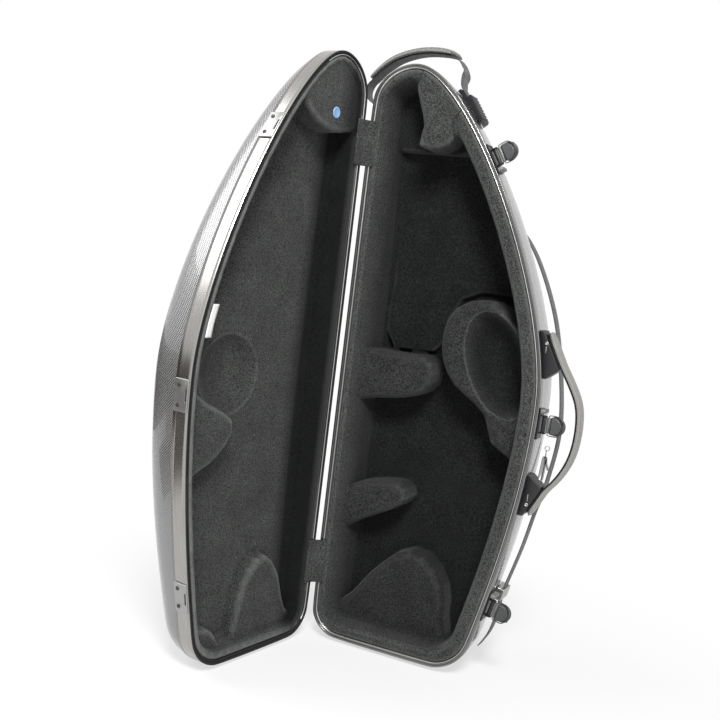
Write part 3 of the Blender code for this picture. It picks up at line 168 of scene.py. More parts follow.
sweep = flat_sheet("sweep", paper, Vector((-12, -12, 0)), (24, 0, 0), (0, 24, 0))
sweep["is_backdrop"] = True

# The room is a dim white, and plain white to the eye and to gloss.
world = bpy.data.worlds.new("studio")
bpy.context.scene.world = world
world.use_nodes = True
tree = world.node_tree
tree.nodes.clear()
rays = add_node(tree, "ShaderNodeLightPath")
room = add_node(tree, "ShaderNodeBackground", {"Color": srgb("#ffffff"), "Strength": 0.26})
seen = add_node(tree, "ShaderNodeBackground", {"Color": srgb("#ffffff"), "Strength": 1.0})
clear_rays = add_node(tree, "ShaderNodeMath", {
    0: rays.outputs["Is Camera Ray"], 1: rays.outputs["Is Transmission Ray"]}, operation="MAXIMUM")
white_rays = add_node(tree, "ShaderNodeMath", {
    0: clear_rays, 1: rays.outputs["Is Glossy Ray"]}, operation="MAXIMUM")
last = add_node(tree, "ShaderNodeMixShader", {0: white_rays, 1: room, 2: seen})
add_node(tree, "ShaderNodeOutputWorld", {"Surface": last})

# Grey flags stand and lie round the case and darken what the frames and the lid's side mirror. They
# are there for gloss alone, and everything else passes through them.
flag_cloth, tree = new_material("grey_felt_flag")
nap = add_node(tree, "ShaderNodeTexNoise", {"Scale": 60.0, "Detail": 2.0})
nap_tone = add_node(tree, "ShaderNodeMix", {
    0: nap, 6: srgb("#5c5651"), 7: srgb("#6a645f")}, data_type="RGBA")
even_light = add_node(tree, "ShaderNodeEmission", {"Color": nap_tone})
open_air = add_node(tree, "ShaderNodeBsdfTransparent")
rays = add_node(tree, "ShaderNodeLightPath")
flag_shown = add_node(tree, "ShaderNodeMixShader", {
    0: rays.outputs["Is Glossy Ray"], 1: open_air, 2: even_light})
add_node(tree, "ShaderNodeOutputMaterial", {"Surface": flag_shown})
for name, corner, along, across in (("long_flag", (-1.0, -2.0, 0.01), (0, 1.25, 0), (0, 0, 0.45)),
                                    ("short_flag", (-1.0, -0.75, 0.10), (0, 1.0, 0), (0, 0, 0.36)),
                                    ("floor_cloth", (-1.0, -2.0, 0.004), (0, 1.55, 0), (0.45, 0, 0)),
                                    ("right_flag", (1.2, 0.25, 0.05), (0, 0.65, 0), (0, 0, 1.1))):
    flag = flat_sheet(name, flag_cloth, hinge_line + Vector(corner), along, across)
    flag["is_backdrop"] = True

# Three soft square lamps: the key above on the right, and a weak one on each side.
for name, spot, aim, size, power in (("key", (1.2, -2.3, 2.7), (0.0, -0.05, 0.42), 0.9, 125),
                                     ("left", (-1.9, -1.0, 2.1), (0.0, -0.2, 0.6), 1.5, 30),
                                     ("right", (2.9, -0.9, 1.2), (0.0, -0.05, 0.42), 1.4, 16)):
    lamp = bpy.data.lights.new(name, "AREA")
    lamp.shape = "SQUARE"
    lamp.size = size
    lamp.energy = power
    holder = in_scene(name, lamp)
    holder.location = hinge_line + Vector(spot)
    holder.rotation_euler = (Vector(aim) - Vector(spot)).to_track_quat("-Z", "Y").to_euler()


# Shells: each half is one thin skin of silver-grey glass cloth in clear resin, pressed into a mould,
# with a glossy coat. The cloth lies in three cuts, over the back, the sides and the ends.

# Places on the case are given from the hinge axis: u runs from it across the opening, v is the height
# above the case's foot and w the depth behind the opening. The lid is described closed, in front of
# the base, and swung open.
foot_height = 0.006
open_angle = math.radians(99)
swing = (Matrix.Translation(hinge_line) @ Matrix.Rotation(-open_angle, 4, "Z")
         @ Matrix.Translation(-hinge_line))


def case_place(point, half):
    """The u, v and w of a point on the base or the lid."""
    local = (swing.inverted() @ point if half == "lid" else point) - hinge_line
    return local.x, local.z - foot_height, -local.y if half == "lid" else local.y


def closed_way(way, half):
    """A direction on the base or the lid, as it is with the case closed."""
    return swing.inverted().to_3x3() @ way if half == "lid" else way


def welded(node):
    """A CAD node's mesh, welded and in four-sided faces where it can be."""
    made = bmesh.new()
    made.from_mesh(frame["nodes"][node].data)
    bmesh.ops.remove_doubles(made, verts=made.verts, dist=0.00001)
    bmesh.ops.join_triangles(made, faces=made.faces, angle_face_threshold=0.25, angle_shape_threshold=1.3)
    return made


def crease(made):
    """Marks the sharp edges, so that subdivision keeps them."""
    least_angle = math.radians(35)
    layer = made.edges.layers.float.get("crease_edge") or made.edges.layers.float.new("crease_edge")
    for edge in made.edges:
        if edge.is_manifold and edge.calc_face_angle() > least_angle:
            edge[layer] = 1.0


def piece(name, made, finish, body, nodes=(), levels=0):
    """A bmesh as a piece of the case that rides on a body and stands for CAD nodes."""
    mesh = bpy.data.meshes.new(name)
    made.to_mesh(mesh)
    made.free()
    mesh.shade_smooth()
    mesh.materials.append(finish)
    thing = in_scene(name, mesh)
    if levels:
        smoother = thing.modifiers.new("smoother", "SUBSURF")
        smoother.levels = levels
        smoother.render_levels = levels
    if body:
        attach(thing, body)
    if nodes:
        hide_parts(*nodes)
    return thing


# Woven glass cloth under clear coat, laid in a mould: threads cross over and under, and the light that
# catches one half of them and then the other is painted into the colour as bright and dark threads, under a
# hard gloss. The real threads are about 1.7 mm wide, drawn here at 1.9 mm so that they show.
glass_cloth, tree = new_material("woven_glass_cloth_clear_coat")
thread = 0.0019
cloth_place = add_node(tree, "ShaderNodeUVMap", uv_map="cloth")
in_threads = add_node(tree, "ShaderNodeVectorMath", {0: cloth_place, 3: 1 / thread}, operation="SCALE")
over = add_node(tree, "ShaderNodeTexChecker", {
    "Vector": in_threads, "Scale": 1.0, "Color1": (1, 1, 1, 1), "Color2": (0, 0, 0, 1)})
count = add_node(tree, "ShaderNodeSeparateXYZ", {0: in_threads})
waves = []
for axis in ("X", "Y"):
    turned = add_node(tree, "ShaderNodeMath", {0: count.outputs[axis], 1: math.pi}, operation="MULTIPLY")
    swung = add_node(tree, "ShaderNodeMath", {0: turned}, operation="SINE")
    waves.append(add_node(tree, "ShaderNodeMath", {0: swung}, operation="ABSOLUTE"))
relief = add_node(tree, "ShaderNodeMix", {0: over.outputs["Fac"], 2: waves[0], 3: waves[1]})
uneven = add_node(tree, "ShaderNodeTexNoise", {"Vector": in_threads, "Scale": 0.9, "Detail": 2.0})
# Painted highlight: the checker makes one half of the threads bright and the other dark.
tone = add_node(tree, "ShaderNodeMix", {
    0: over.outputs["Fac"], 6: srgb("#b6b6b6"), 7: srgb("#484849")}, data_type="RGBA")
shade = add_node(tree, "ShaderNodeMix", {0: uneven, 6: srgb("#a0a0a0"), 7: srgb("#ffffff")}, data_type="RGBA")
toned = add_node(tree, "ShaderNodeMix", {
    0: 0.6, 6: tone, 7: shade}, data_type="RGBA", blend_type="MULTIPLY")
bumps = add_node(tree, "ShaderNodeBump", {"Height": relief, "Strength": 0.25, "Distance": 0.0003})
skin = add_node(tree, "ShaderNodeBsdfPrincipled", {
    "Base Color": toned, "Roughness": 0.27, "Metallic": 0.55, "Normal": bumps, "Coat Weight": 0.8,
    "Coat Roughness": 0.05})
add_node(tree, "ShaderNodeOutputMaterial", {"Surface": skin})

# The outer side of each shell is what hangs together with its deepest face, down to the edge frame.
# In the deeper part, where the faces crowd together, vertices closer than 3 mm are joined.
frame_depth = 0.0085
crowded_depth = 0.03
least_gap = 0.003
skin_thickness = 0.0028
for half in ("base", "lid"):
    skin_mesh = welded(half + "_shell")
    depths = {face: case_place(face.calc_center_median(), half)[2] for face in skin_mesh.faces}
    outer = {max(depths, key=depths.get)}
    growing = list(outer)
    while growing:
        for edge in growing.pop().edges:
            for face in edge.link_faces:
                if face not in outer and depths[face] > frame_depth:
                    outer.add(face)
                    growing.append(face)
    bmesh.ops.delete(skin_mesh, geom=[face for face in skin_mesh.faces if face not in outer], context="FACES")
    crowded = [vert for vert in skin_mesh.verts if case_place(vert.co, half)[2] > crowded_depth]
    bmesh.ops.remove_doubles(skin_mesh, verts=crowded, dist=least_gap)
    skin_mesh.normal_update()
    cloth = skin_mesh.loops.layers.uv.new("cloth")
    for face in skin_mesh.faces:
        way = closed_way(face.normal, half)
        for loop in face.loops:
            u, v, w = case_place(loop.vert.co, half)
            if abs(way.y) > max(abs(way.x), abs(way.z)):
                loop[cloth].uv = (u, v)
            elif abs(way.x) > abs(way.z):
                loop[cloth].uv = (w, v)
            else:
                loop[cloth].uv = (u, w)
    shell = piece(half + "_shell_skin", skin_mesh, glass_cloth, half, [half + "_shell"], levels=2)
    wall = shell.modifiers.new("wall", "SOLIDIFY")
    wall.thickness = skin_thickness
    wall.offset = -1


# Edge frames: anodised aluminium, extruded in one section with a lip, a dark groove and a seat for
# the bright bead, bent round each half and brushed along its length.

frame_finishes = {}
# The lid's frame is given lighter tones than the base's, though both are the same metal: painted light.
for half, lid_turn, dark, light in (("base", 0.0, "#6f6f6e", "#8f8f8e"),
                                    ("lid", open_angle, "#8d8b88", "#b9b7b4")):
    # Anodising keeps the metal's gloss: lines along the frame stretch every highlight. They are drawn
    # 0.6 mm apart, coarser than real ones, so that they show.
    aluminium, tree = new_material("brushed_anodised_aluminium_" + half)
    spot = add_node(tree, "ShaderNodeTexCoord")
    swung_back = add_node(tree, "ShaderNodeMapping", {
        "Vector": spot.outputs["Object"], "Rotation": (0, 0, lid_turn)})
    brush = add_node(tree, "ShaderNodeMapping", {"Vector": swung_back, "Scale": (30, 1600, 30)})
    lines = add_node(tree, "ShaderNodeTexNoise", {"Vector": brush, "Scale": 1.0, "Detail": 3.0})
    line_tone = add_node(tree, "ShaderNodeMix", {0: lines, 6: srgb(dark), 7: srgb(light)}, data_type="RGBA")
    line_bump = add_node(tree, "ShaderNodeBump", {"Height": lines, "Strength": 0.08, "Distance": 0.0002})
    metal = add_node(tree, "ShaderNodeBsdfPrincipled", {
        "Base Color": line_tone, "Roughness": 0.24, "Metallic": 1.0, "Normal": line_bump})
    add_node(tree, "ShaderNodeOutputMaterial", {"Surface": metal})
    frame_finishes[half] = aluminium

bead_metal, tree = new_material("polished_aluminium_bead")
# A drawn wire, polished bright, with slight ripples about 17 mm apart left by bending.
spot = add_node(tree, "ShaderNodeTexCoord")
ripples = add_node(tree, "ShaderNodeTexNoise", {
    "Vector": spot.outputs["Object"], "Scale": 60.0, "Detail": 2.0})
ripple_bump = add_node(tree, "ShaderNodeBump", {"Height": ripples, "Strength": 0.1, "Distance": 0.001})
metal = add_node(tree, "ShaderNodeBsdfPrincipled", {
    "Base Color": srgb("#bdbdbb"), "Roughness": 0.3, "Metallic": 1.0, "Normal": ripple_bump})
add_node(tree, "ShaderNodeOutputMaterial", {"Surface": metal})

gasket_and_bead_shade, tree = new_material("dull_black_gasket_and_bead_shade")
# Extruded soft rubber: matt and nearly black, with specks of dust. The same black is painted shade on the
# lid's bead.
spot = add_node(tree, "ShaderNodeTexCoord")
dust = add_node(tree, "ShaderNodeTexNoise", {
    "Vector": spot.outputs["Object"], "Scale": 400.0, "Detail": 2.0})
dust_tone = add_node(tree, "ShaderNodeMix", {
    0: dust, 6: srgb("#0a0a0a"), 7: srgb("#1a1a1a")}, data_type="RGBA")
rubber_shader = add_node(tree, "ShaderNodeBsdfPrincipled", {"Base Color": dust_tone, "Roughness": 0.8})
add_node(tree, "ShaderNodeOutputMaterial", {"Surface": rubber_shader})

# The gasket lies on what faces the opening, down to its reach, and on the frame's inner side. The lid's bead,
# the same bright wire, is given the gasket's dull black as painted shade, except for the stretch along the
# hinge.
middle_u = 0.12
middle_v = 0.42
facing_front = 0.6
bright_reach = 0.100
bottom_height = 0.020
for half, seal_reach in (("base", 0.0002), ("lid", 0.0030)):
    section = welded(half + "_rim")
    crease(section)
    for face in section.faces:
        u, v, w = case_place(face.calc_center_median(), half)
        flat = closed_way(face.normal, half)
        outward = flat.x * (u - middle_u) + flat.z * (v - middle_v)
        if (w < seal_reach and abs(flat.y) > facing_front) or outward < 0:
            face.material_index = 1
    extrusion = piece(half + "_rim_extrusion", section, frame_finishes[half], half,
                      [half + "_rim"], levels=2)
    extrusion.data.materials.append(gasket_and_bead_shade)
    wire = welded(half + "_bead")
    for face in wire.faces:
        u, v = case_place(face.calc_center_median(), half)[:2]
        # Painted shade: the lid's bead away from the hinge takes the dull black.
        if half == "lid" and (u > bright_reach or v < bottom_height):
            face.material_index = 1
    bead = piece(half + "_bead_wire", wire, bead_metal, half, [half + "_bead"], levels=2)
    bead.data.materials.append(gasket_and_bead_shade)


# Plush fitting: moulded foam under short-pile black plush, glued into both halves. The pile is dark between
# its fibres and light at their tips. Painted light makes it lighter at the lip and along the rounded edges of
# the forms, and painted shade makes it darker deep inside and in the folds.

def pile_finish(name, root, lit_tip, shaded_tip):
    """Short black pile: dark between the fibres and light at their tips, with painted highlights along
    rounded edges and painted shade in folds and deep inside.

    The tufts are drawn about 2 mm wide, coarser than real ones, so that they show.
    """
    made, tree = new_material(name)
    spot = add_node(tree, "ShaderNodeTexCoord")
    fibres = add_node(tree, "ShaderNodeTexNoise", {
        "Vector": spot.outputs["Object"], "Scale": 520.0, "Detail": 4.0, "Roughness": 0.7})
    strands = add_node(tree, "ShaderNodeMapRange", {0: fibres, 1: 0.34, 2: 0.70})
    # The tip colour goes from painted light at the lip to painted shade deep inside.
    depth_shade = add_node(tree, "ShaderNodeAttribute", attribute_name="depth_shade")
    tip = add_node(tree, "ShaderNodeMix", {
        0: depth_shade.outputs["Fac"], 6: srgb(lit_tip), 7: srgb(shaded_tip)}, data_type="RGBA")
    pile = add_node(tree, "ShaderNodeMix", {0: strands, 6: srgb(root), 7: tip}, data_type="RGBA")
    nap = add_node(tree, "ShaderNodeTexNoise", {
        "Vector": spot.outputs["Object"], "Scale": 26.0, "Detail": 4.0})
    nap_tone = add_node(tree, "ShaderNodeMix", {
        0: nap, 6: srgb("#8c8c8c"), 7: srgb("#ffffff")}, data_type="RGBA")
    brushed = add_node(tree, "ShaderNodeMix", {
        0: 0.8, 6: pile, 7: nap_tone}, data_type="RGBA", blend_type="MULTIPLY")
    crest = add_node(tree, "ShaderNodeAttribute", attribute_name="crest")
    most = add_node(tree, "ShaderNodeMapRange", {0: depth_shade.outputs["Fac"], 3: 0.38, 4: 0.16})
    edges = add_node(tree, "ShaderNodeMapRange", {
        0: crest.outputs["Fac"], 1: 0.00015, 2: 0.0008, 3: 0.0, 4: most})
    # Painted highlight: the pile is lightened along rounded edges, most at the lip.
    edge_highlighted = add_node(tree, "ShaderNodeMix", {0: edges, 6: brushed, 7: srgb("#8e908e")}, data_type="RGBA")
    # Painted shade: the pile is darkened in folds and hollows.
    folds = add_node(tree, "ShaderNodeMapRange", {
        0: crest.outputs["Fac"], 1: -0.0014, 2: -0.0001, 3: 0.3, 4: 1.0})
    wear_and_painted_light = add_node(tree, "ShaderNodeVectorMath", {0: edge_highlighted, 3: folds}, operation="SCALE")
    bump = add_node(tree, "ShaderNodeBump", {"Height": fibres, "Strength": 0.6, "Distance": 0.0012})
    shader = add_node(tree, "ShaderNodeBsdfPrincipled", {
        "Base Color": wear_and_painted_light, "Roughness": 0.95, "Normal": bump, "Sheen Weight": 0.4,
        "Sheen Roughness": 0.45, "Sheen Tint": srgb("#909290"), "Specular IOR Level": 0.1})
    add_node(tree, "ShaderNodeOutputMaterial", {"Surface": shader})
    return made


# Each half's pile has its own lit and shaded tip colours: painted light at the lip and painted shade deep
# inside.
base_pile = pile_finish("short_pile_plush_base", "#060707", "#6a6c6a", "#343635")
lid_pile = pile_finish("short_pile_plush_lid", "#070808", "#717371", "#262827")


def ramp(value, start, length):
    """From 0 at the start to 1 a length past it."""
    return min(max((value - start) / length, 0), 1)


def pile_depth_shade(point, half):
    """How much painted shade the pile gets, from 0, painted light at the lip, to 1, painted shade deep inside
    and, in the lid, along its hinge-side wall.
    """
    lid_share = 0.22
    u, _, w = case_place(point, half)
    if half == "base":
        return ramp(w, 0.004, 0.050)
    return max(lid_share * ramp(w, 0.003, 0.010), ramp(-u, -0.070, 0.035))


def stretched_over(point):
    """How far the plush over the neck block is drawn, level with the roll round it and up to its seam."""
    block_side = 0.131
    block_shoulder = 0.79
    block_front = 0.03
    u, v, w = case_place(point, "base")
    above = max(v - block_shoulder, 0)
    lean = 0.1 * max(block_side - u, 0) + 0.05 * above
    return Vector((-lean, -0.007 if w < block_front else 0, 0.25 * above))


def add_to(whole, part):
    """Joins one bmesh into another and frees it."""
    held = bpy.data.meshes.new("held")
    part.to_mesh(held)
    part.free()
    whole.from_mesh(held)
    bpy.data.meshes.remove(held)


def evaluated(thing):
    """The mesh of an object with its modifiers applied."""
    return bpy.data.meshes.new_from_object(thing.evaluated_get(bpy.context.evaluated_depsgraph_get()))


def soft_body(name, nodes, body, finish, spread):
    """CAD foam nodes under one plush skin: joined, remeshed evenly and eased, so that edges are soft.

    Its crest attribute is how far each point stands out from a skin eased over a wider spread, which the pile
    uses for painted highlights on edges and painted shade in folds. A second attribute holds the pile's
    painted shade by depth.
    """
    overlap = 0.0004
    made = bmesh.new()
    for node in nodes:
        part = welded(node)
        part.normal_update()
        for vert in part.verts:
            vert.co += vert.normal * overlap
            if node == "neck_block":
                vert.co += stretched_over(vert.co)
        add_to(made, part)
    made = piece(name, made, finish, None)
    even = made.modifiers.new("even", "REMESH")
    even.mode = "VOXEL"
    even.voxel_size = 0.0026
    ease = made.modifiers.new("ease", "SMOOTH")
    ease.factor = 0.5
    ease.iterations = 5
    shaped = evaluated(made)
    ease.iterations = spread
    rounder = evaluated(made)
    made.modifiers.clear()
    made.data = shaped
    shaped.shade_smooth()
    crest = shaped.attributes.new("crest", "FLOAT", "POINT")
    depth_shade = shaped.attributes.new("depth_shade", "FLOAT", "POINT")
    for vert, eased in zip(shaped.vertices, rounder.vertices):
        crest.data[vert.index].value = (vert.co - eased.co).dot(vert.normal)
        depth_shade.data[vert.index].value = pile_depth_shade(vert.co, body)
    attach(made, body)
    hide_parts(*nodes)
    return made


base_foam = ("base_liner", "neck_shelf", "neck_block", "floor_panel", "bell_cup", "body_pad_upper",
             "body_pad_lower", "bow_cradle")
lid_foam = ("lid_liner", "lid_top_block", "lid_wedge", "lid_bow_mound", "lid_corner_pad")
base_plush = soft_body("base_plush", base_foam, "base", base_pile, 13)
lid_plush = soft_body("lid_plush", lid_foam, "lid", lid_pile, 18)


def skin_of(thing):
    """A tree for finding points on a piece's surface."""
    return BVHTree.FromPolygons([vert.co for vert in thing.data.vertices],
                                [face.vertices[:] for face in thing.data.polygons])


# Seams: the plush round the top of the base is sewn from three strips, with two short seams across
# the roll between them, and one more joins the neck block's cover to the lip. Dark thread pulls each in.

dark_thread, tree = new_material("sewn_black_thread")
# Twisted polyester: little glints where the thread turns, every 1.5 mm.
spot = add_node(tree, "ShaderNodeTexCoord")
twist = add_node(tree, "ShaderNodeTexWave", {
    "Vector": spot.outputs["Object"], "Scale": 210.0}, bands_direction="DIAGONAL")
twist_tone = add_node(tree, "ShaderNodeMix", {
    0: twist.outputs["Fac"], 6: srgb("#050505"), 7: srgb("#1c1c1c")}, data_type="RGBA")
thread_shader = add_node(tree, "ShaderNodeBsdfPrincipled", {"Base Color": twist_tone, "Roughness": 0.7})
add_node(tree, "ShaderNodeOutputMaterial", {"Surface": thread_shader})


def line_piece(name, points, radius, finish, body):
    """A thin round line through points."""
    curve = bpy.data.curves.new(name, "CURVE")
    curve.dimensions = "3D"
    curve.bevel_depth = radius
    curve.bevel_resolution = 2
    curve.use_fill_caps = True
    spline = curve.splines.new("POLY")
    spline.points.add(len(points) - 1)
    for item, point in zip(spline.points, points):
        item.co = (*point, 1)
    holder = in_scene(name, curve)
    made = bmesh.new()
    made.from_mesh(evaluated(holder))
    bpy.data.objects.remove(holder)
    bmesh.ops.remove_doubles(made, verts=made.verts, dist=0.00001)
    piece(name, made, finish, body)


def on_base(u, v, w):
    """The point of the base at u, v and w."""
    return hinge_line + Vector((u, w, v + foot_height))


base_skin = skin_of(base_plush)
deeper = Vector((0, 1, 0))
stitch_count = 12
in_front = -0.03
for label, stops in (("left", ((0.0265, 0.848), (0.0345, 0.833))),
                     ("right", ((0.079, 0.852), (0.068, 0.825))),
                     ("block", ((0.1439, 0.7995), (0.1324, 0.7830), (0.1365, 0.7590)))):
    stitches = []
    for (u, v), (next_u, next_v) in zip(stops, stops[1:]):
        for step in range(stitch_count + 1):
            share = step / stitch_count
            above = on_base(u + (next_u - u) * share, v + (next_v - v) * share, in_front)
            found = base_skin.ray_cast(above, deeper)[0]
            if found:
                stitches.append(found)
    line_piece("roll_seam_" + label, stitches, 0.0011, dark_thread, "base")


# Hinge flaps: a strip of the same plush over each hinge, glued to both liners' lips, which bridges the two
# frames inside. Each is drawn as it lies with the lid open and rides on neither half.

def thickened(made, thickness):
    """Gives a sheet its thickness and turns its faces outward."""
    bmesh.ops.recalc_face_normals(made, faces=made.faces)
    bmesh.ops.solidify(made, geom=made.faces[:], thickness=thickness)
    bmesh.ops.recalc_face_normals(made, faces=made.faces)


def on_lid(u, v, w):
    """The point of the lid at u, v and w, swung open."""
    return swing @ (hinge_line + Vector((u, -w, v + foot_height)))


flap_height = 0.066
for label, height in (("upper", 0.742), ("lower", 0.113)):
    made = bmesh.new()
    bmesh.ops.create_grid(made, x_segments=12, y_segments=22, size=0.5)
    start = on_base(0.0175, 0, 0.0004)
    end = on_lid(0.0220, 0, 0.0004)
    base_corner = on_base(0.0060, 0, -0.0012)
    lid_corner = on_lid(0.0060, 0, -0.0012)
    for vert in made.verts:
        share = vert.co.x + 0.5
        rest = 1 - share
        point = (rest ** 3 * start + 3 * rest ** 2 * share * base_corner + 3 * rest * share ** 2 * lid_corner
                 + share ** 3 * end)
        point.z = height + foot_height + vert.co.y * flap_height
        vert.co = point
    thickened(made, 0.0008)
    flap = piece("hinge_flap_cloth_" + label, made, base_pile, None, ["hinge_flap_" + label])
    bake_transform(flap)


# A small woven tag, blank and white, is sewn into the lid's lip and stands out from it, and a plain
# pale-blue enamelled disc is set in the top block.

tag_cloth, tree = new_material("white_satin_ribbon")
# Satin ribbon: near white, with fine ribs 0.8 mm apart across it, each with a painted highlight.
spot = add_node(tree, "ShaderNodeTexCoord")
ribs = add_node(tree, "ShaderNodeTexWave", {
    "Vector": spot.outputs["Object"], "Scale": 390.0}, bands_direction="Z")
rib_highlight_tone = add_node(tree, "ShaderNodeMix", {
    0: ribs.outputs["Fac"], 6: srgb("#e2e2e0"), 7: srgb("#f6f6f4")}, data_type="RGBA")
rib_bump = add_node(tree, "ShaderNodeBump", {
    "Height": ribs.outputs["Fac"], "Strength": 0.2, "Distance": 0.0002})
satin = add_node(tree, "ShaderNodeBsdfPrincipled", {
    "Base Color": rib_highlight_tone, "Roughness": 0.45, "Normal": rib_bump, "Sheen Weight": 0.2})
add_node(tree, "ShaderNodeOutputMaterial", {"Surface": satin})

lid_skin = skin_of(lid_plush)
into_lid = swing.to_3x3() @ Vector((0, -1, 0))
to_edge = swing.to_3x3() @ Vector((1, 0, 0))
tag_middle = 0.4745
tag_height = 0.043
tag_reach = 0.0135
tag_dip = 0.18
made = bmesh.new()
bmesh.ops.create_grid(made, x_segments=4, y_segments=16, size=0.5)
for vert in made.verts:
    inward = 0.5 - vert.co.x
    lip = lid_skin.ray_cast(on_lid(0.255, tag_middle + vert.co.y * tag_height, 0.0030), to_edge)[0]
    vert.co = lip + (into_lid * tag_dip - to_edge) * tag_reach * inward
thickened(made, 0.0004)
tag = piece("blank_tag", made, tag_cloth, "lid")

enamel, tree = new_material("pale_blue_enamel")
# Stove enamel on a pressed disc: even and glossy, with a slight orange peel.
spot = add_node(tree, "ShaderNodeTexCoord")
peel = add_node(tree, "ShaderNodeTexNoise", {"Vector": spot.outputs["Object"], "Scale": 300.0, "Detail": 1.0})
peel_tone = add_node(tree, "ShaderNodeMix", {
    0: peel, 6: srgb("#7ea3cc"), 7: srgb("#8fb2d8")}, data_type="RGBA")
peel_bump = add_node(tree, "ShaderNodeBump", {"Height": peel, "Strength": 0.1, "Distance": 0.0003})
gloss = add_node(tree, "ShaderNodeBsdfPrincipled", {
    "Base Color": peel_tone, "Roughness": 0.2, "Normal": peel_bump})
add_node(tree, "ShaderNodeOutputMaterial", {"Surface": gloss})


def spun(made, steps, spot, outward):
    """Turns a profile all the way round the Z axis and seats it at a spot, facing outward."""
    bmesh.ops.spin(made, geom=made.verts[:] + made.edges[:], cent=(0, 0, 0), axis=(0, 0, 1), dvec=(0, 0, 0),
                   angle=math.tau, steps=steps, use_merge=True)
    bmesh.ops.remove_doubles(made, verts=made.verts, dist=0.00001)
    bmesh.ops.recalc_face_normals(made, faces=made.faces)
    place = Matrix.Translation(spot) @ outward.to_track_quat("Z", "Y").to_matrix().to_4x4()
    bmesh.ops.transform(made, matrix=place, verts=made.verts)


def turned_piece(name, profile, spot, outward, finish, body, steps=24):
    """A small round part from its profile of radius and height, seated at a spot and facing outward."""
    made = bmesh.new()
    verts = [made.verts.new((radius, 0, height)) for radius, height in profile]
    for pair in zip(verts, verts[1:]):
        made.edges.new(pair)
    spun(made, steps, spot, outward)
    piece(name, made, finish, body)


found, facing = lid_skin.ray_cast(on_lid(0.0715, 0.7735, in_front), into_lid)[:2]
disc_profile = ((0, 0.0009), (0.0055, 0.0009), (0.0061, 0.0012), (0.0074, 0.0012), (0.0080, 0.0006),
                (0.0080, -0.0008), (0, -0.0008))
turned_piece("pale_disc", disc_profile, found, facing, enamel, "lid", 40)


# Small metal and moulded parts keep their CAD shapes, with rounded edges and finishes of their own.

def fitting(node, finish, body, rounding, segments=2, second=None, where=None):
    """A small CAD part with its edges rounded, and a second finish on the faces that a test picks."""
    made = welded(node)
    if second:
        for face in made.faces:
            face.material_index = int(where(face.calc_center_median()))
    made = piece(node + "_finished", made, finish, body, [node])
    if second:
        made.data.materials.append(second)
    bevel = made.modifiers.new("wear_and_painted_light", "BEVEL")
    bevel.width = rounding
    bevel.segments = segments
    bevel.limit_method = "ANGLE"
    bevel.angle_limit = math.radians(28)
    bevel.use_clamp_overlap = True
    bevel.harden_normals = True


def plain_finish(name, colour, speck, roughness, metallic, grain_scale, depth):
    """A material with a grain that varies its colour and relief a little.

    The grain is drawn 0.6 to 2 mm wide, coarser than real, so that it shows.
    """
    made, tree = new_material(name)
    spot = add_node(tree, "ShaderNodeTexCoord")
    grain = add_node(tree, "ShaderNodeTexNoise", {
        "Vector": spot.outputs["Object"], "Scale": grain_scale, "Detail": 3.0})
    tone = add_node(tree, "ShaderNodeMix", {0: grain, 6: srgb(colour), 7: srgb(speck)}, data_type="RGBA")
    bump = add_node(tree, "ShaderNodeBump", {"Height": grain, "Strength": 0.3, "Distance": depth})
    shader = add_node(tree, "ShaderNodeBsdfPrincipled", {
        "Base Color": tone, "Roughness": roughness, "Metallic": metallic, "Normal": bump})
    add_node(tree, "ShaderNodeOutputMaterial", {"Surface": shader})
    return made


# Zinc-plated steel has a soft even shine, and cast zinc is duller and coarser.
zinc_steel = plain_finish("satin_zinc_plated_steel", "#8f8f8d", "#b2b2b0", 0.36, 0.9, 900, 0.0001)
cast_zinc = plain_finish("cast_zinc", "#6c6c6a", "#8a8a88", 0.5, 0.8, 500, 0.0002)
# Blackened screws are dark with a hard glint, and coated steel is blacker with a broader one.
screw_steel = plain_finish("blackened_steel_screw", "#3a3a38", "#565654", 0.22, 0.9, 900, 0.0001)
black_steel = plain_finish("black_coated_steel", "#151517", "#232326", 0.4, 0.5, 700, 0.0001)
# Moulded nylon is black and half matt. The soft coat on the tabs and bails is charcoal, like velvet.
nylon = plain_finish("moulded_black_nylon", "#0e0e10", "#1d1d20", 0.45, 0.0, 1500, 0.0002)
grip_rubber = plain_finish("soft_touch_dark_rubber", "#333435", "#474849", 0.42, 0.0, 1800, 0.0002)
# Moulded vinyl is even and half matt, grey on the strap and almost black along its inner edge.
vinyl = plain_finish("grey_moulded_vinyl", "#7b7976", "#8b8986", 0.45, 0.0, 800, 0.0003)
dark_vinyl = plain_finish("blue_black_vinyl", "#0d1116", "#1a2027", 0.5, 0.0, 800, 0.0002)
# The feet's moulded rubber is black and dull.
foot_rubber = plain_finish("black_rubber", "#101010", "#1c1c1c", 0.8, 0.0, 900, 0.0003)

screw_head = ((0, 0.0009), (0.0009, 0.0009), (0.0011, 0.0015), (0.0019, 0.0014), (0.0025, 0.0010),
              (0.0029, 0.0003), (0.0029, -0.0004), (0, -0.0004))


# Latches: a black plate with ears and a cast zinc block, a steel lever on a black drum, a soft-touch
# tab on its end and a sprung wire bail. The strikes are pressed steel, screwed to the lid's frame.

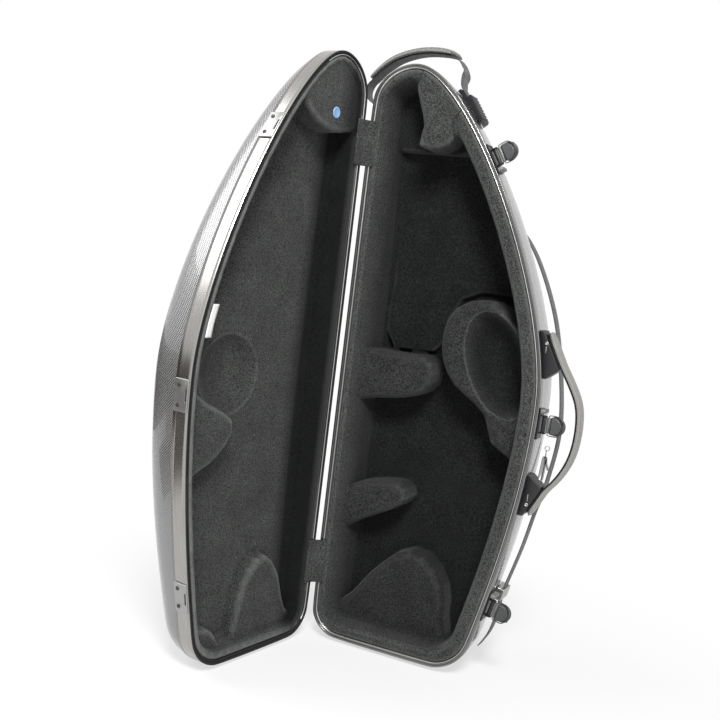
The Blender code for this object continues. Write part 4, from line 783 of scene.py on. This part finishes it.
pin_out = 0.0070
pin_deep = 0.0110
block_face = -0.0046
block_reach = 0.0150
drum_radius = 0.0034
for label in ("top", "middle", "bottom"):
    joint = next(item for item in frame["joints"] if item["name"] == "latch_" + label)
    along = Vector(joint["axis"]).normalized()
    out = deeper.cross(along).normalized()
    at_pin = Matrix.Translation(Vector(joint["pos_m"])) @ Matrix((out, deeper, along)).transposed().to_4x4()
    on_edge = at_pin @ Matrix.Translation((-pin_out, -pin_deep, 0))
    from_pin = at_pin.inverted()
    fitting("latch_plate_" + label, black_steel, "base", 0.0003, 2, cast_zinc,
            lambda point: (from_pin @ point).x > block_face and abs((from_pin @ point).z) > block_reach)
    fitting("latch_lever_" + label, cast_zinc, "lever_" + label, 0.0002, 2, nylon,
            lambda point: (from_pin @ point).to_2d().length < drum_radius)

    # The tab is a round disc cut straight by the lever, on a smaller and thicker one.
    tab = bmesh.new()
    for radius, centre, cut_at, front, back, rounding in ((0.0135, 0.0165, 0.0104, 0.0012, 0.0046, 0.0014),
                                                          (0.0122, 0.0133, 0.0092, -0.0038, 0.0026, 0.0018)):
        made = bmesh.new()
        bmesh.ops.create_circle(made, cap_ends=True, radius=radius, segments=48)
        raised = bmesh.ops.extrude_face_region(made, geom=made.faces[:])["geom"]
        bmesh.ops.translate(made, vec=(0, 0, back - front),
                            verts=[item for item in raised if isinstance(item, bmesh.types.BMVert)])
        bmesh.ops.translate(made, vec=(centre, 0, -back), verts=made.verts)
        whole = made.verts[:] + made.edges[:] + made.faces[:]
        cut = bmesh.ops.bisect_plane(made, geom=whole, plane_co=(cut_at, 0, 0), plane_no=(-1, 0, 0),
                                     clear_outer=True)["geom_cut"]
        bmesh.ops.contextual_create(made, geom=[item for item in cut if isinstance(item, bmesh.types.BMEdge)])
        bmesh.ops.recalc_face_normals(made, faces=made.faces)
        sharp = [edge for edge in made.edges if edge.calc_face_angle(0) > math.radians(40)]
        bmesh.ops.bevel(made, geom=sharp, offset=rounding, segments=4, profile=0.5, affect="EDGES",
                        material=-1)
        add_to(tab, made)
    bmesh.ops.transform(tab, matrix=at_pin @ Matrix.Rotation(math.radians(90), 4, "X"), verts=tab.verts)
    piece("latch_tab_" + label, tab, grip_rubber, "lever_" + label, ["latch_grip_" + label])

    piece("latch_bail_wire_" + label, welded("latch_bail_" + label), grip_rubber, "bail_" + label,
          ["latch_bail_" + label], levels=1)
    fitting("latch_strike_" + label, zinc_steel, "lid", 0.0003)
    for end, side in (("low", -1), ("high", 1)):
        screw_spot = swing @ on_edge @ Vector((0.0019, -0.0175, side * 0.013))
        turned_piece(f"strike_screw_{label}_{end}", screw_head, screw_spot, swing.to_3x3() @ out,
                     screw_steel, "lid")


# Hinges and feet: steel leaves with rolled knuckles, and rubber studs under both halves.

for label in ("upper", "lower"):
    fitting("hinge_leaf_base_" + label, zinc_steel, "base", 0.0002)
    fitting("hinge_leaf_lid_" + label, zinc_steel, "lid", 0.0002)
for node in sorted(frame["nodes"]):
    if node.startswith("foot_"):
        fitting(node, foot_rubber, "lid" if "lid" in node else "base", 0.0008)


# Handle: a grey strap with a dark inner edge, bowed between two nylon wedges that are screwed to the
# free wall from the front. Each wedge has a small pressed slot beside its screw.

def rounded_plate(width, thickness, height, rounding, segments):
    """A small flat plate with the corners of its outline rounded."""
    made = bmesh.new()
    bmesh.ops.create_cube(made, size=1)
    bmesh.ops.scale(made, vec=(width, thickness, height), verts=made.verts)
    corners = [edge for edge in made.edges if abs(edge.verts[0].co.y - edge.verts[1].co.y) > thickness / 2]
    bmesh.ops.bevel(made, geom=corners, offset=rounding, segments=segments, profile=0.5, affect="EDGES",
                    material=-1)
    return made


wedge_front = 0.0135
slot_depth = 0.0134
for label, place, slot_place in (("upper", (0.3062, 0.4901), (0.3062, 0.4815)),
                                 ("lower", (0.3085, 0.2632), (0.3093, 0.2730))):
    fitting("handle_bracket_" + label, nylon, "base", 0.0008, 3)
    turned_piece("bracket_screw_" + label, screw_head, on_base(*place, wedge_front), -deeper, zinc_steel,
                 "base")
    made = rounded_plate(0.0014, 0.0006, 0.0098, 0.0005, 3)
    bmesh.ops.translate(made, vec=on_base(*slot_place, slot_depth), verts=made.verts)
    piece("bracket_slot_" + label, made, vinyl, "base")

for node, finish, slot in (("handle_bow", vinyl, "handle"), ("handle_grip", dark_vinyl, "piping")):
    piece(node + "_strap", welded(node), finish, "base", [node], levels=2)


# Straps: black nylon webbing over the top between two ridged buckles, with a grey padded grip on it,
# and a shoulder strap from a plate on the back to a steel keeper low on the free wall. Each strap is
# made along its route, flat in its width, and the webbing's ribs follow it.

webbing, tree = new_material("black_nylon_webbing")
# Twill-woven nylon: ribs 1.6 mm apart run in chevrons, with a painted highlight on their backs and a dull
# sheen.
rib_pitch = 0.0016
chevron = 0.004
strap_place = add_node(tree, "ShaderNodeUVMap", uv_map="strap")
ways = add_node(tree, "ShaderNodeSeparateXYZ", {0: strap_place})
fold = add_node(tree, "ShaderNodeMath", {0: ways.outputs["X"], 1: chevron}, operation="PINGPONG")
slant = add_node(tree, "ShaderNodeMath", {0: ways.outputs["Y"], 1: fold}, operation="ADD")
ribbed = add_node(tree, "ShaderNodeMath", {0: slant, 1: math.tau / rib_pitch}, operation="MULTIPLY")
rib = add_node(tree, "ShaderNodeMath", {0: ribbed}, operation="SINE")
rib_share = add_node(tree, "ShaderNodeMapRange", {0: rib, 1: -1.0, 2: 1.0})
fuzz = add_node(tree, "ShaderNodeTexNoise", {"Vector": strap_place, "Scale": 700.0, "Detail": 2.0})
rib_highlight_tone = add_node(tree, "ShaderNodeMix", {
    0: rib_share, 6: srgb("#090b0c"), 7: srgb("#23272a")}, data_type="RGBA")
fuzz_tone = add_node(tree, "ShaderNodeMix", {
    0: fuzz, 6: srgb("#909090"), 7: srgb("#ffffff")}, data_type="RGBA")
web_tone = add_node(tree, "ShaderNodeMix", {
    0: 0.6, 6: rib_highlight_tone, 7: fuzz_tone}, data_type="RGBA", blend_type="MULTIPLY")
rib_bump = add_node(tree, "ShaderNodeBump", {"Height": rib_share, "Strength": 0.5, "Distance": 0.0003})
web_shader = add_node(tree, "ShaderNodeBsdfPrincipled", {
    "Base Color": web_tone, "Roughness": 0.6, "Normal": rib_bump, "Sheen Weight": 0.2})
add_node(tree, "ShaderNodeOutputMaterial", {"Surface": web_shader})

pad_cloth, tree = new_material("grey_coated_pad_cloth")
# Coated polyester: a fine 1.3 mm grid of grains, light grey with painted shade in the grooves between them,
# and a row of stitches near each edge.
strap_place = add_node(tree, "ShaderNodeUVMap", uv_map="strap")
grains = add_node(tree, "ShaderNodeTexVoronoi", {"Vector": strap_place, "Scale": 760.0})
grain_groove_shade = add_node(tree, "ShaderNodeMix", {
    0: grains.outputs["Distance"], 6: srgb("#8f8f8c"), 7: srgb("#5c5c5a")}, data_type="RGBA")
ways = add_node(tree, "ShaderNodeSeparateXYZ", {0: strap_place})
off_middle = add_node(tree, "ShaderNodeMath", {0: ways.outputs["X"]}, operation="ABSOLUTE")
off_row = add_node(tree, "ShaderNodeMath", {0: off_middle, 1: 0.0150, 2: 0.0006}, operation="COMPARE")
beat = add_node(tree, "ShaderNodeMath", {0: ways.outputs["Y"], 1: 0.0035}, operation="PINGPONG")
stitched = add_node(tree, "ShaderNodeMath", {0: beat, 1: 0.0022}, operation="LESS_THAN")
in_row = add_node(tree, "ShaderNodeMath", {0: off_row, 1: stitched}, operation="MULTIPLY")
pad_tone = add_node(tree, "ShaderNodeMix", {0: in_row, 6: grain_groove_shade, 7: srgb("#3c3c3c")}, data_type="RGBA")
dents = add_node(tree, "ShaderNodeMath", {0: grains.outputs["Distance"], 1: in_row}, operation="ADD")
pad_bump = add_node(tree, "ShaderNodeBump", {
    "Height": dents, "Strength": 0.3, "Distance": 0.0004}, invert=True)
pad_shader = add_node(tree, "ShaderNodeBsdfPrincipled", {
    "Base Color": pad_tone, "Roughness": 0.55, "Normal": pad_bump})
add_node(tree, "ShaderNodeOutputMaterial", {"Surface": pad_shader})


def smooth_route(stops, steps):
    """Points and width directions on a smooth line through the stops."""
    route = []
    last = len(stops) - 1
    for k in range(last):
        near = [stops[min(max(k + step, 0), last)] for step in (-1, 0, 1, 2)]
        before, here, there, after = [stop[0] for stop in near]
        across = near[1][1]
        next_across = near[2][1]
        for step in range(steps + (k == last - 1)):
            t = step / steps
            point = 0.5 * (2 * here + (there - before) * t
                           + (2 * before - 5 * here + 4 * there - after) * t ** 2
                           + (3 * here - before - 3 * there + after) * t ** 3)
            route.append((point, across.lerp(next_across, t).normalized()))
    return route


def strap(name, route, width, thickness, raised, crown, finish, node):
    """A strap or pad along a route: a long block, cut into short lengths and bent onto the line.

    Its edges are thinner than its middle, and a crown also thins its ends over a quarter of its length.
    """
    edge_thinning = 0.45
    made = bmesh.new()
    bmesh.ops.create_cube(made, size=1)
    lengthways = [edge for edge in made.edges if abs(edge.verts[0].co.y - edge.verts[1].co.y) > 0.5]
    bmesh.ops.subdivide_edges(made, edges=lengthways, cuts=len(route) - 2, use_grid_fill=True)
    crossways = [edge for edge in made.edges if abs(edge.verts[0].co.x - edge.verts[1].co.x) > 0.5]
    bmesh.ops.subdivide_edges(made, edges=crossways, cuts=7, use_grid_fill=True)
    travelled = [0.0]
    for (here, _), (there, _) in zip(route, route[1:]):
        travelled.append(travelled[-1] + (there - here).length)
    cloth = made.loops.layers.uv.new("strap")
    last = len(route) - 1
    for face in made.faces:
        for loop in face.loops:
            index = round((loop.vert.co.y + 0.5) * last)
            loop[cloth].uv = (loop.vert.co.x * width, travelled[index])
    for vert in made.verts:
        index = round((vert.co.y + 0.5) * last)
        point, across = route[index]
        tangent = route[min(index + 1, last)][0] - route[max(index - 1, 0)][0]
        flat = tangent.cross(across).normalized()
        wide = flat.cross(tangent).normalized()
        side = abs(2 * vert.co.x)
        ends = min(1, 4 * index / last, 4 * (last - index) / last) if crown else 1
        full = thickness * (1 - (edge_thinning + crown) * side ** 4) * (1 - crown * (1 - ends) ** 2)
        lift = raised - ((thickness - full) / 2 if crown else 0)
        vert.co = point + wide * vert.co.x * width + flat * (vert.co.z * full + lift)
    bmesh.ops.recalc_face_normals(made, faces=made.faces)
    piece(name, made, finish, "base", [node], levels=1)


top_stops = (
    (0.0005, 0.7785, 0.060), (0.0009, 0.7862, 0.060), (0.0004, 0.7962, 0.060), (-0.0120, 0.805, 0.061),
    (-0.0290, 0.815, 0.067), (-0.0395, 0.829, 0.075), (-0.0355, 0.847, 0.082), (-0.0080, 0.873, 0.085),
    (0.0200, 0.885, 0.085), (0.0500, 0.890, 0.085), (0.0850, 0.888, 0.084), (0.1040, 0.880, 0.078),
    (0.1190, 0.862, 0.066), (0.1225, 0.848, 0.054), (0.1270, 0.8348, 0.045), (0.1328, 0.8266, 0.045),
    (0.1378, 0.8208, 0.045))
route_steps = 6
web_width = 0.025
web_thickness = 0.0018
top_route = smooth_route([(on_base(*stop), deeper) for stop in top_stops], route_steps)
# The pad lies over the middle of the strap.
pad_route = top_route[6 * route_steps:10 * route_steps + 3]
strap("strap_webbing_top_woven", top_route, web_width, web_thickness, 0.0, 0, webbing,
      "strap_webbing_top")
strap("strap_pad_top_padded", pad_route, 0.038, 0.009, 0.006, 0.35, pad_cloth, "strap_pad_top")

flat_on_back = Vector((0.85, 0, 0.53))
shoulder_stops = (
    (0.1501, 0.706, 0.112), (0.1670, 0.692, 0.1132), (0.1892, 0.670, 0.122), (0.2326, 0.620, 0.146),
    (0.2749, 0.534, 0.148), (0.2973, 0.450, 0.148), (0.3145, 0.360, 0.128), (0.3144, 0.285, 0.092),
    (0.3104, 0.245, 0.064), (0.2998, 0.190, 0.060), (0.2845, 0.1323, 0.060), (0.2813, 0.1177, 0.060),
    (0.2781, 0.1031, 0.060), (0.2759, 0.082, 0.060), (0.2689, 0.055, 0.060), (0.2566, 0.032, 0.060))
shoulder_route = smooth_route([(on_base(*stop), flat_on_back if index < 2 else deeper)
                               for index, stop in enumerate(shoulder_stops)], route_steps)
strap("strap_shoulder_woven", shoulder_route, web_width, web_thickness, 0.0, 0, webbing,
      "strap_shoulder")

for label in ("spine", "free"):
    fitting("strap_buckle_" + label, black_steel, "base", 0.0003)
fitting("strap_keeper", zinc_steel, "base", 0.0005)
fitting("strap_plate_back", nylon, "base", 0.0005)


# Keys: two small split rings on the middle latch's plate, with a long bowed key and a thin one.

def key_ring(name, centre, radius, wire, facing):
    """A ring of wire round a centre, with its axis facing one way."""
    made = bmesh.new()
    bmesh.ops.create_circle(made, cap_ends=False, radius=wire, segments=10)
    bmesh.ops.rotate(made, cent=(0, 0, 0), matrix=Matrix.Rotation(math.radians(90), 3, "X"), verts=made.verts)
    bmesh.ops.translate(made, vec=(radius, 0, 0), verts=made.verts)
    spun(made, 28, centre, facing)
    piece(name, made, zinc_steel, "base")


key_depth = 0.018
key_top = 0.3348
ring_wire = 0.0006
key_ring("key_ring_upper", on_base(0.3262, 0.3462, key_depth), 0.0032, ring_wire, Vector((0.4, -1, 0)))
key_ring("key_ring_lower", on_base(0.3254, 0.3386, key_depth), 0.0045, ring_wire, Vector((1, 0.3, 0)))
for name, length, lean, width in (("key_bowed", 0.0358, -0.08, 0.0075), ("key_thin", 0.0198, 0.32, 0.0030)):
    made = rounded_plate(width, 0.0012, length, width * 0.45, 4)
    bmesh.ops.translate(made, vec=(0, 0, -length / 2), verts=made.verts)
    if name == "key_bowed":
        flats = [face for face in made.faces if abs(face.normal.y) > 0.9]
        bmesh.ops.inset_individual(made, faces=flats, thickness=width * 0.24, depth=0)
        bmesh.ops.inset_individual(made, faces=flats, thickness=0.0001, depth=-0.0004)
    place = Matrix.Translation(on_base(0.3250, key_top, key_depth)) @ Matrix.Rotation(-lean, 4, "Y")
    bmesh.ops.transform(made, matrix=place, verts=made.verts)
    piece(name, made, zinc_steel, "base")


size = {"cad": [list(corner) for corner in cad_box], "visual": [list(corner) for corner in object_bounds()]}
